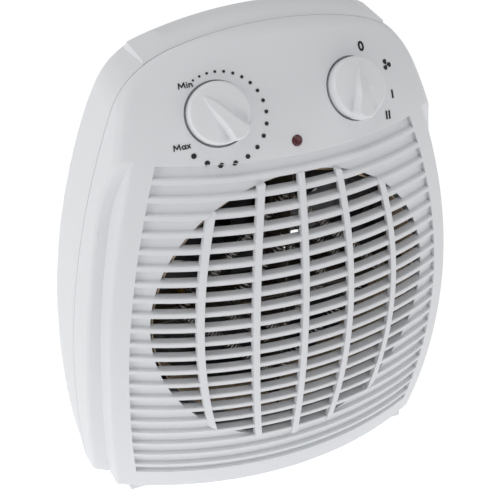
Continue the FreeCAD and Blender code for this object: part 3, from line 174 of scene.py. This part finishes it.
def knob_plastic():
    """Smoother white plastic of the knobs, with faint handling marks."""
    shader = Shader("knob_plastic", (0.82, 0.83, 0.85), 0.33)
    shader.surface.inputs["Specular IOR Level"].default_value = 0.5
    shader.tint(shader.ramp(shader.noise(70.0, 4.0), 0.5, 0.8), (0.79, 0.80, 0.82))
    shader.vary_roughness(shader.noise(260.0, 4.0), 0.07)
    shader.bump(shader.noise(1500.0, 2.0), 0.012, 0.5)
    return shader.material


def dark_plastic():
    """Heat-resistant black plastic of the fan duct and cord gland, dusty in patches."""
    shader = Shader("dark_plastic", (0.018, 0.018, 0.020), 0.55)
    shader.tint(shader.ramp(shader.noise(60.0, 6.0, rough=0.65), 0.50, 0.85), (0.05, 0.048, 0.045))
    shader.vary_roughness(shader.noise(220.0, 4.0), 0.1)
    shader.bump(shader.noise(1400.0, 2.0), 0.03, 0.7)
    return shader.material


def fan_plastic():
    """Dark grey impeller with moulding sheen and dust."""
    shader = Shader("impeller_plastic", (0.035, 0.036, 0.040), 0.42)
    shader.tint(shader.ramp(shader.noise(90.0, 6.0, rough=0.7), 0.55, 0.85), (0.09, 0.088, 0.082))
    shader.vary_roughness(shader.noise(180.0, 4.0), 0.1)
    shader.bump(shader.noise(900.0, 3.0), 0.02, 0.5)
    return shader.material


def mica_sheet(name, shade):
    """Brown pressed mica: silvery flakes in a resin-brown sheet, darker where it is scorched."""
    # The shade factor scales every colour of the sheet: well below 1 it paints the sheet dark with
    # shade, above 1 it paints it lighter as if lit.
    shader = Shader(name, (0.40 * shade, 0.29 * shade, 0.19 * shade), 0.38)
    flakes = shader.cells(520.0)
    shader.tint(shader.ramp(flakes, 0.05, 0.7), (0.56 * shade, 0.44 * shade, 0.31 * shade))
    scorch = shader.ramp(shader.noise(120.0, 6.0, rough=0.7), 0.5, 0.75)
    shader.tint(scorch, (0.22 * shade, 0.15 * shade, 0.10 * shade))
    shader.vary_roughness(shader.noise(700.0, 3.0), 0.14)
    shader.bump(flakes, 0.05, 0.6)
    return shader.material


def resistance_wire():
    """Nichrome wire, heat-tinted brown and blue along its length."""
    shader = Shader("resistance_wire", (0.66, 0.63, 0.60), 0.30, 1.0)
    shader.tint(shader.ramp(shader.noise(80.0, 4.0), 0.45, 0.7), (0.42, 0.36, 0.32))
    shader.tint(shader.ramp(shader.noise(45.0, 3.0), 0.58, 0.75), (0.36, 0.38, 0.46))
    shader.vary_roughness(shader.noise(600.0, 3.0), 0.1)
    shader.bump(shader.noise(3000.0, 2.0), 0.01, 0.5)
    return shader.material


def zinc_steel():
    """Zinc-plated steel with a fine directional grain and dull patches."""
    shader = Shader("zinc_steel", (0.58, 0.59, 0.60), 0.34, 1.0)
    shader.tint(shader.ramp(shader.noise(160.0, 5.0), 0.45, 0.75), (0.44, 0.45, 0.47))
    streaks = shader.noise(300.0, 3.0, stretch=(1.0, 14.0, 1.0))
    shader.vary_roughness(streaks, 0.12)
    shader.bump(streaks, 0.01, 0.5)
    return shader.material


def laminations():
    """Edges of stacked sheet steel: fine parallel lines across the stack."""
    shader = Shader("laminations", (0.30, 0.30, 0.31), 0.42, 0.9)
    sheets = shader.bands("Y", 320.0, 0.3)
    shader.tint(shader.ramp(sheets, 0.1, 0.5), (0.17, 0.17, 0.18))
    shader.tint(shader.ramp(shader.noise(150.0, 5.0), 0.6, 0.8), (0.26, 0.16, 0.10))
    shader.vary_roughness(shader.noise(300.0, 3.0), 0.12)
    shader.bump(sheets, 0.06, 0.7)
    return shader.material


def wound_copper():
    """Enamelled copper turns wound round the stator bar."""
    shader = Shader("wound_copper", (0.50, 0.17, 0.06), 0.3, 0.75)
    turns = shader.bands("X", 520.0, 0.6)
    # The colour alternates across the turns: painted highlight along the crest of each wire and
    # painted shade in the grooves between them.
    shader.tint(shader.ramp(turns, 0.05, 0.45), (0.26, 0.07, 0.03))
    shader.vary_roughness(shader.noise(300.0, 3.0), 0.08)
    shader.bump(turns, 0.1, 0.8)
    return shader.material


def bronze():
    """Dull, pitted bronze of the coil terminals."""
    shader = Shader("bronze", (0.55, 0.38, 0.17), 0.42, 1.0)
    shader.tint(shader.ramp(shader.noise(400.0, 5.0), 0.5, 0.8), (0.33, 0.21, 0.10))
    shader.vary_roughness(shader.noise(900.0, 2.0), 0.12)
    shader.bump(shader.noise(2600.0, 2.0), 0.02, 0.7)
    return shader.material


def phenolic():
    """Brown moulded phenolic of the switch and thermostat cases."""
    shader = Shader("phenolic", (0.055, 0.028, 0.016), 0.36)
    shader.tint(shader.ramp(shader.noise(700.0, 5.0, rough=0.7), 0.5, 0.75), (0.11, 0.06, 0.035))
    shader.vary_roughness(shader.noise(250.0, 4.0), 0.1)
    shader.bump(shader.noise(1200.0, 3.0), 0.02, 0.5)
    return shader.material


def terminal_nylon():
    """Milky nylon of the terminal block."""
    shader = Shader("terminal_nylon", (0.72, 0.71, 0.66), 0.42)
    shader.tint(shader.ramp(shader.noise(160.0, 4.0), 0.5, 0.8), (0.64, 0.62, 0.56))
    shader.vary_roughness(shader.noise(400.0, 3.0), 0.08)
    shader.bump(shader.noise(1500.0, 2.0), 0.015, 0.5)
    return shader.material


def red_lens():
    """Deep red moulded lens, with a faceted inside that breaks up the light."""
    shader = Shader("red_lens", (0.055, 0.004, 0.006), 0.2)
    shader.surface.inputs["Coat Weight"].default_value = 0.25
    shader.surface.inputs["Coat Roughness"].default_value = 0.08
    facets = shader.cells(900.0)
    # The lighter red along the cell edges is painted light, standing in for light broken up by the
    # facets inside.
    shader.tint(shader.ramp(facets, 0.1, 0.8), (0.10, 0.008, 0.012))
    shader.vary_roughness(shader.noise(600.0, 2.0), 0.05)
    shader.bump(facets, 0.04, 0.4)
    return shader.material


def lamp_glass():
    """Small neon lamp: clear glass, slightly smoked at the tip."""
    shader = Shader("lamp_glass", (0.85, 0.62, 0.50), 0.08)
    shader.surface.inputs["Transmission Weight"].default_value = 0.8
    shader.surface.inputs["IOR"].default_value = 1.48
    shader.tint(shader.ramp(shader.noise(250.0, 4.0), 0.5, 0.8), (0.55, 0.30, 0.20))
    shader.vary_roughness(shader.noise(500.0, 2.0), 0.04)
    return shader.material


def dial_ink():
    """Black printing ink, slightly uneven in cover and gloss."""
    shader = Shader("dial_ink", (0.010, 0.010, 0.012), 0.42)
    shader.tint(shader.ramp(shader.noise(1800.0, 4.0), 0.55, 0.85), (0.028, 0.028, 0.032))
    shader.vary_roughness(shader.noise(900.0, 3.0), 0.1)
    shader.bump(shader.noise(2500.0, 2.0), 0.006, 0.5)
    return shader.material


CASING = casing_plastic()
KNOB = knob_plastic()
DARK = dark_plastic()
# Liner mica painted lighter than the sheet's own colour: a lit copy standing in for light on the
# inside of the duct.
MICA = mica_sheet("mica_sheet", 1.2)
# Board mica painted near black: painted shade for the unlit middle of the heater, not scorching.
MICA_PAINTED_SHADE = mica_sheet("mica_painted_shade", 0.12)
NICHROME = resistance_wire()
STEEL = zinc_steel()
LAMINATIONS = laminations()
BRONZE = bronze()
PHENOLIC = phenolic()
INK = dial_ink()

NODE_MATERIALS = {
    "front_cover": CASING, "rear_cover": rear_plastic(),
    "thermostat_knob": KNOB, "selector_knob": KNOB,
    "thermostat_shaft": STEEL, "selector_shaft": STEEL,
    "thermostat_body": PHENOLIC, "selector_body": PHENOLIC,
    "control_screws": STEEL, "cover_screws": STEEL, "duct_screws": STEEL, "motor_screws": STEEL,
    "pilot_lens": red_lens(), "pilot_lamp": lamp_glass(),
    "fan_duct": DARK, "cord_gland": DARK, "impeller": fan_plastic(),
    # The liner takes a lit copy and the boards a shaded copy of the same mica.
    "mica_liner": MICA, "mica_board_upright": MICA_PAINTED_SHADE, "mica_board_level": MICA_PAINTED_SHADE,
    "heater_coil_front": NICHROME, "heater_coil_rear": NICHROME, "coil_terminals": BRONZE,
    "thermal_cutout": STEEL, "thermal_fuse": STEEL,
    "motor_stator": LAMINATIONS, "motor_rotor": LAMINATIONS, "motor_coil": wound_copper(),
    "motor_shaft": STEEL, "motor_bridge_front": STEEL, "motor_bridge_rear": STEEL,
    "terminal_block": terminal_nylon(),
}


def paint_nodes():
    for name, material in NODE_MATERIALS.items():
        mesh = nodes[name].data
        if not mesh.materials:
            mesh.materials.append(material)
        for index in range(len(mesh.materials)):
            mesh.materials[index] = material


# ---------------------------------------------------------------- frames on the sloping panel
def frame_at(location, right, up, back):
    """Matrix with its origin at the location and its X, Y and Z along right, up and back."""
    matrix = Matrix((right, up, back)).transposed().to_4x4()
    matrix.translation = location
    return matrix


def control_frame(joint_name):
    """Matrix of a control: its origin on the axis, Z out of the panel, Y up the panel."""
    joint = joints[joint_name]
    out = -Vector(joint["axis"]).normalized()
    up = Vector((0.0, math.sin(FRONT_TILT), math.cos(FRONT_TILT)))
    across = up.cross(out).normalized()
    up = out.cross(across)
    return frame_at(Vector(joint["pos_m"]), across, up, out)


def surface_tree(name):
    """Search tree over a CAD node's own mesh."""
    mesh = nodes[name].data
    return BVHTree.FromPolygons([v.co.copy() for v in mesh.vertices],
                                [tuple(p.vertices) for p in mesh.polygons])


PANEL = surface_tree("front_cover")
RAY_START = 0.03        # clear of the panel, for finding its surface from outside


def on_panel(matrix, x, y, lift):
    """Point of the panel below (x, y) of a control's frame, lifted along the control's axis."""
    out = matrix.to_3x3() @ Vector((0, 0, 1))
    start = matrix @ Vector((x, y, RAY_START))
    hit = PANEL.ray_cast(start, -out)[0]
    return hit + out * lift


def mesh_from(name, bm):
    mesh = bpy.data.meshes.new(name)
    bm.to_mesh(mesh)
    bm.free()
    return mesh


def new_piece(name, mesh, material, body="casing"):
    piece = bpy.data.objects.new(name, mesh)
    bpy.context.scene.collection.objects.link(piece)
    mesh.materials.clear()
    mesh.materials.append(material)
    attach(piece, body)
    return piece


# ---------------------------------------------------------------- printed marks
INK_LIFT = 0.25 * MM
INK_SINK = -0.06 * MM


def print_outline(bm, outline):
    """A flat patch of ink inside an outline of (x, y) points in a control's frame."""
    bm.faces.new([bm.verts.new((x, y, 0.0)) for x, y in outline])


def oval(x, y, half_width, half_height, count=14):
    """Points round an oval; the last one lies on the first."""
    return [(x + half_width * math.cos(2 * math.pi * i / count),
             y + half_height * math.sin(2 * math.pi * i / count)) for i in range(count + 1)]


def circle_outline(x, y, radius, count=24):
    return oval(x, y, radius, radius, count)[:-1]


def turned(outline, x, y, turn):
    """An outline turned anticlockwise about its own origin and moved to (x, y)."""
    c, s = math.cos(turn), math.sin(turn)
    return [(x + a * c - b * s, y + a * s + b * c) for a, b in outline]


def bar_outline(x, y, width, height, turn):
    corners = ((-width / 2, -height / 2), (width / 2, -height / 2),
               (width / 2, height / 2), (-width / 2, height / 2))
    return turned(corners, x, y, turn)


def finish_print(name, bm, matrix):
    """Divide the flat patches finely, give them thickness and lay them on the panel."""
    bmesh.ops.triangulate(bm, faces=bm.faces[:])
    bmesh.ops.subdivide_edges(bm, edges=bm.edges[:], cuts=2, use_grid_fill=True)
    raised = bmesh.ops.extrude_face_region(bm, geom=bm.faces[:], use_keep_orig=True)
    top = {item for item in raised["geom"] if isinstance(item, bmesh.types.BMVert)}
    for vertex in bm.verts:
        lift = INK_LIFT if vertex in top else INK_SINK
        vertex.co = on_panel(matrix, vertex.co.x, vertex.co.y, lift)
    bmesh.ops.recalc_face_normals(bm, faces=bm.faces[:])
    new_piece(name, mesh_from(name, bm), INK)


def dial_dots(matrix):
    """Nineteen dots round the thermostat that grow and spread from low to high."""
    centre_x, centre_y = 1.34 * MM, -2.32 * MM
    ring_radius = 21.0 * MM
    first, step, growth = -25.6, 9.3, 0.28
    smallest, largest, count = 0.50 * MM, 1.22 * MM, 19
    bm = bmesh.new()
    for i in range(count):
        angle = math.radians(first + step * i + growth * i * (i - 1))
        x = centre_x + ring_radius * math.sin(angle)
        y = centre_y + ring_radius * math.cos(angle)
        radius = smallest + (largest - smallest) * i / (count - 1)
        print_outline(bm, circle_outline(x, y, radius))
    finish_print("dial_dots", bm, matrix)


# Letters as pen strokes: advance width, then runs of points on a cap height of 1. The width of a
# word leaves out the space after its last letter.
LETTER_SPACE = 0.25
LETTERS = {
    "M": (1.55, [[(0.0, 0.0), (0.12, 1.0), (0.6, 0.2), (1.08, 1.0), (1.2, 0.0)]]),
    "i": (0.45, [[(0.05, 0.0), (0.05, 0.64)], [(0.05, 0.92), (0.05, 0.94)]]),
    "n": (0.85, [[(0.0, 0.0), (0.0, 0.64)],
                 [(0.0, 0.4), (0.12, 0.58), (0.3, 0.64), (0.48, 0.56), (0.55, 0.38), (0.55, 0.0)]]),
    "a": (1.0, [oval(0.33, 0.32, 0.31, 0.31), [(0.68, 0.66), (0.68, 0.0)]]),
    "x": (0.8, [[(0.0, 0.0), (0.52, 0.64)], [(0.0, 0.64), (0.52, 0.0)]]),
    "0": (0.8, [oval(0.35, 0.5, 0.28, 0.46, 20)]),
}


def print_text(name, matrix, text, x, y, cap_height, pen):
    """Generic dial words drawn with a round pen, centred on (x, y) of a control's frame."""
    total = sum(LETTERS[letter][0] for letter in text) - LETTER_SPACE
    pen_x = x - total * cap_height / 2
    bm = bmesh.new()
    for letter in text:
        advance, strokes = LETTERS[letter]
        for stroke in strokes:
            points = [(pen_x + a * cap_height, y + (b - 0.5) * cap_height) for a, b in stroke]
            for start, end in zip(points, points[1:]):
                length = math.hypot(end[0] - start[0], end[1] - start[1])
                turn = math.atan2(end[1] - start[1], end[0] - start[0])
                print_outline(bm, bar_outline((start[0] + end[0]) / 2, (start[1] + end[1]) / 2,
                                              length, pen, turn))
            for point in points:
                print_outline(bm, circle_outline(point[0], point[1], pen / 2, 10))
        pen_x += advance * cap_height
    finish_print(name, bm, matrix)


def fan_mark(matrix, x, y):
    """Three-bladed fan sign: each blade is a rounded tip and a root near the centre."""
    steps = 10
    tip_width, tip_height, tip_middle = 1.20 * MM, 1.00 * MM, 1.75 * MM
    first_blade = 22
    tip = [(tip_width * math.cos(math.pi * i / steps),
            tip_middle + tip_height * math.sin(math.pi * i / steps)) for i in range(steps + 1)]
    root = [(-0.95 * MM, 1.05 * MM), (-0.25 * MM, 0.25 * MM), (0.25 * MM, 0.35 * MM)]
    bm = bmesh.new()
    for blade in range(3):
        print_outline(bm, turned(tip + root, x, y, math.radians(120 * blade + first_blade)))
    finish_print("fan_sign", bm, matrix)


def printed_marks():
    left = control_frame("thermostat_turn")
    right = control_frame("selector_turn")
    dial_dots(left)
    word_height, word_pen = 2.4 * MM, 0.50 * MM
    print_text("mark_min", left, "Min", -11.6 * MM, 15.2 * MM, word_height, word_pen)
    print_text("mark_max", left, "Max", -18.6 * MM, -11.4 * MM, word_height, word_pen)
    print_text("mark_zero", right, "0", 8.9 * MM, 18.7 * MM, 4.2 * MM, 0.95 * MM)
    column = 22.1 * MM
    fan_mark(right, column, 8.3 * MM)
    bm = bmesh.new()
    width, height = 0.95 * MM, 4.0 * MM
    print_outline(bm, bar_outline(column, -5.8 * MM, width, height, 0.0))
    for x in (16.5, 18.3):
        print_outline(bm, bar_outline(x * MM, -15.1 * MM, width, height, 0.0))
    finish_print("mark_heat_steps", bm, right)


# ---------------------------------------------------------------- moulded knobs
# In mm from the knob's axis: v runs along the pointer and u across it. The ear is the bulge of
# the rim at the wide end of the fin; its spread is a share of the rim's radius.
KNOB_RIM = 14.2
KNOB_EDGE = 5.4
KNOB_FOOT = -3.0
FOOT_CHAMFER = 0.25
SKIRT_TOP, SKIRT_LEAN = 2.6, 0.15
DISH_RISE = 0.9
SCOOP_DEPTH, SCOOP_MIDDLE, SCOOP_SPREAD = 1.3, 2.2, 2.6
EDGE_ROUND, EDGE_DROP = 1.3, 1.1
EAR_LENGTH, EAR_SPREAD = 1.1, 0.24
FIN_TIP = 10.2
CREST_LOW, CREST_RISE = 1.0, 3.2
FIN_OUTLINE = ((-16.0, 3.9), (-14.0, 4.4), (-10.0, 3.3), (-5.0, 2.3),
               (0.0, 2.0), (5.0, 1.5), (8.5, 0.8), (10.2, 0.1))


def fin_half_width(v):
    """Half the fin's width at v, along straight runs between the points of FIN_OUTLINE."""
    for (v0, w0), (v1, w1) in zip(FIN_OUTLINE, FIN_OUTLINE[1:]):
        if v <= v1:
            share = max(0.0, (v - v0) / (v1 - v0))
            return w0 + (w1 - w0) * share
    return FIN_OUTLINE[-1][1]


def smooth_step(value):
    value = min(1.0, max(0.0, value))
    return value * value * (3 - 2 * value)


def knob_height(u, v):
    """Height of the knob face in mm; v runs along the pointer, u across it."""
    r = math.hypot(u, v)
    dish = KNOB_EDGE + DISH_RISE * (1.0 - (r / KNOB_RIM) ** 2)
    scoop_side = max(0.0, abs(u) - fin_half_width(v))
    scoop = SCOOP_DEPTH * math.exp(-((scoop_side - SCOOP_MIDDLE) / SCOOP_SPREAD) ** 2)
    scoop *= smooth_step((2.0 - v) / 12.0)
    base = dish - scoop * smooth_step((KNOB_RIM - r) / 3.5)
    length_share = smooth_step((FIN_TIP - v) / 15.0)
    crest = KNOB_EDGE + CREST_LOW + CREST_RISE * length_share
    flank = 1.0 - smooth_step(scoop_side / (0.5 + 1.5 * length_share))
    ends = smooth_step((FIN_TIP + 1.0 - v) / 2.0)
    return base + (crest - base) * flank * ends


def ear_share(a):
    """How far the ear stands out at angle a from the pointer: 1 at the wide end of the fin."""
    return math.exp(-(math.hypot(math.sin(a), math.cos(a) + 1) / EAR_SPREAD) ** 4)


def moulded_knob(node, joint_name, body, pointer):
    """Knob with a sculpted fin and scooped flanks, in place of the plain CAD knob."""
    place = control_frame(joint_name) @ Matrix.Rotation(-math.radians(pointer), 4, "Z")
    bm = bmesh.new()
    spokes, steps = 144, 44
    angles = [2 * math.pi * k / spokes for k in range(spokes)]
    centre = bm.verts.new(place @ Vector((0, 0, knob_height(0, 0) * MM)))
    rings = []
    for step in range(1, steps + 1):
        ring = []
        for a in angles:
            rim = KNOB_RIM + EAR_LENGTH * ear_share(a)
            r = rim * (step / steps)
            u, v = r * math.sin(a), r * math.cos(a)
            edge = max(0.0, r - rim + EDGE_ROUND) / EDGE_ROUND
            height = knob_height(u, v) - EDGE_DROP * (1 - math.sqrt(1 - min(1.0, edge) ** 2))
            ring.append(bm.verts.new(place @ Vector((u * MM, v * MM, height * MM))))
        rings.append(ring)
    for depth in (SKIRT_TOP, KNOB_FOOT + FOOT_CHAMFER, KNOB_FOOT):
        ring = []
        for a in angles:
            rim = KNOB_RIM
            if depth == SKIRT_TOP:
                rim = KNOB_RIM + SKIRT_LEAN + EAR_LENGTH * ear_share(a)
            elif depth == KNOB_FOOT:
                rim = KNOB_RIM - FOOT_CHAMFER
            ring.append(bm.verts.new(place @ Vector((rim * math.sin(a) * MM,
                                                     rim * math.cos(a) * MM, depth * MM))))
        rings.append(ring)
    for k in range(spokes):
        bm.faces.new((centre, rings[0][k], rings[0][(k + 1) % spokes]))
    for inner, outer in zip(rings, rings[1:]):
        for k in range(spokes):
            n = (k + 1) % spokes
            bm.faces.new((inner[k], outer[k], outer[n], inner[n]))
    bm.faces.new(rings[-1])
    bmesh.ops.recalc_face_normals(bm, faces=bm.faces)
    mesh = mesh_from(node + "_moulded", bm)
    for polygon in mesh.polygons:
        polygon.use_smooth = len(polygon.vertices) < 5
    piece = new_piece(node + "_moulded", mesh, KNOB, body=body)
    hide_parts(node)


# ---------------------------------------------------------------- wound coils
def tube_along(bm, points, radius, sides=7):
    """Round tube with closed ends along a run of points."""
    rings = []
    side = Vector((0, 1, 0))
    for i, point in enumerate(points):
        ahead = points[min(i + 1, len(points) - 1)] - points[max(i - 1, 0)]
        ahead.normalize()
        across = (side - ahead * side.dot(ahead)).normalized()
        side = across
        other = ahead.cross(across)
        rings.append([bm.verts.new(point + across * (radius * math.cos(2 * math.pi * k / sides))
                                   + other * (radius * math.sin(2 * math.pi * k / sides)))
                      for k in range(sides)])
    for a, b in zip(rings, rings[1:]):
        for k in range(sides):
            n = (k + 1) % sides
            bm.faces.new((a[k], a[n], b[n], b[k]))
    bm.faces.new(list(reversed(rings[0])))
    bm.faces.new(rings[-1])


def coil_points(start, end, radius, turns, seed):
    """Centre line of a helix between two points, with slightly uneven turns."""
    rng = random.Random(seed)
    per_turn = 12
    sway_size, uneven_size = 0.25 * MM, 0.0035
    along = end - start
    length = along.length
    along.normalize()
    first = along.cross(Vector((0, 1, 0))).normalized()
    second = along.cross(first)
    total = turns * per_turn
    drift = [rng.uniform(-1, 1) for _ in range(6)]
    points = []
    for i in range(total + 1):
        share = i / total
        sway = sum(d * math.sin((n + 1) * math.pi * share) for n, d in enumerate(drift[:3]))
        uneven = sum(d * math.sin((n + 2) * 2 * math.pi * share) for n, d in enumerate(drift[3:]))
        angle = 2 * math.pi * i / per_turn
        place = start + along * (length * (share + uneven_size * uneven))
        place += first * (sway_size * sway)
        points.append(place + first * (radius * math.cos(angle))
                      + second * (radius * math.sin(angle)))
    return points


def wound_coils():
    """Real wire helices in place of the plain coil sleeves, strung between the mica boards."""
    axis_z = sum(corner[2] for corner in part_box("mica_liner")) / 2
    wire_radius, winding_radius, pitch = 0.33 * MM, 2.2 * MM, 2.15 * MM
    rings_mm = {"heater_coil_front": (54, 26), "heater_coil_rear": (40,)}
    for node, radii_mm in rings_mm.items():
        low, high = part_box(node)
        depth = (low[1] + high[1]) / 2
        bm = bmesh.new()
        for radius_mm in radii_mm:
            radius = radius_mm * MM
            for quarter in range(4):
                a, b = math.radians(90 * quarter), math.radians(90 * quarter + 90)
                start = Vector((radius * math.cos(a), depth, axis_z + radius * math.sin(a)))
                end = Vector((radius * math.cos(b), depth, axis_z + radius * math.sin(b)))
                turns = int((end - start).length / pitch)
                seed = radius_mm * 10 + quarter
                tube_along(bm, coil_points(start, end, winding_radius, turns, seed), wire_radius)
        bmesh.ops.recalc_face_normals(bm, faces=bm.faces)
        mesh = mesh_from(node + "_wire", bm)
        for polygon in mesh.polygons:
            polygon.use_smooth = True
        piece = new_piece(node + "_wire", mesh, NICHROME)
        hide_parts(node)


# ---------------------------------------------------------------- studio
CAMERA_PLACE = Vector((-0.2872, -0.5669, 0.5487))
CAMERA_RIGHT = Vector((0.90771, -0.41743, 0.04257))
CAMERA_UP = Vector((0.20470, 0.52910, 0.82350))
CAMERA_BACK = Vector((-0.36627, -0.73879, 0.56572))
LIT_POINT = (0, 0, 0.12)
FLOOR_HALF = 6.0


def camera():
    data = bpy.data.cameras.new("camera")
    data.sensor_width = 36.0
    data.lens = 111.33
    data.shift_x = 0.002
    data.clip_start = 0.05
    data.clip_end = 50.0
    camera_object = bpy.data.objects.new("camera", data)
    bpy.context.scene.collection.objects.link(camera_object)
    camera_object.matrix_world = frame_at(CAMERA_PLACE, CAMERA_RIGHT, CAMERA_UP, CAMERA_BACK)
    bpy.context.scene.camera = camera_object


def soft_light(name, location, size, power, color=(1.0, 1.0, 1.0)):
    """A disc light aimed at the middle of the heater."""
    data = bpy.data.lights.new(name, "AREA")
    data.shape = "DISK"
    data.size = size
    data.energy = power
    data.color = color
    light = bpy.data.objects.new(name, data)
    bpy.context.scene.collection.objects.link(light)
    light.location = location
    light.rotation_euler = (Vector(LIT_POINT) - Vector(location)).to_track_quat("-Z", "Y").to_euler()


def studio():
    bm = bmesh.new()
    bm.faces.new([bm.verts.new((x * FLOOR_HALF, y * FLOOR_HALF, 0))
                  for x, y in ((-1, -1), (1, -1), (1, 1), (-1, 1))])
    mesh = mesh_from("floor", bm)
    shader = Shader("floor_paper", (0.93, 0.93, 0.93), 0.9)
    shader.tint(shader.ramp(shader.noise(3.0, 3.0), 0.4, 0.7), (0.92, 0.92, 0.925))
    shader.bump(shader.noise(400.0, 2.0), 0.02, 0.2)
    shader.surface.inputs["Emission Color"].default_value = (1.0, 1.0, 1.0, 1.0)
    shader.surface.inputs["Emission Strength"].default_value = 0.5
    mesh.materials.append(shader.material)
    floor = bpy.data.objects.new("floor", mesh)
    bpy.context.scene.collection.objects.link(floor)
    world = bpy.data.worlds.new("studio")
    world.use_nodes = True
    background = world.node_tree.nodes["Background"]
    background.inputs["Color"].default_value = (1.0, 1.0, 1.0, 1.0)
    background.inputs["Strength"].default_value = 0.42
    bpy.context.scene.world = world
    soft_light("light_above", (-0.15, 0.1, 1.6), 0.9, 3.0)
    soft_light("light_left", (-1.5, 0.05, 0.7), 0.9, 4.6, (0.97, 0.99, 1.0))
    soft_light("light_front", (0.9, -1.5, 0.9), 1.2, 3.0, (0.97, 0.98, 1.0))
    scene = bpy.context.scene
    scene.view_settings.view_transform = "Standard"
    scene.view_settings.look = "None"


paint_nodes()
printed_marks()
moulded_knob("thermostat_knob", "thermostat_turn", "thermostat_dial", -35.0)
moulded_knob("selector_knob", "selector_turn", "selector_dial", 8.0)
wound_coils()
camera()
studio()
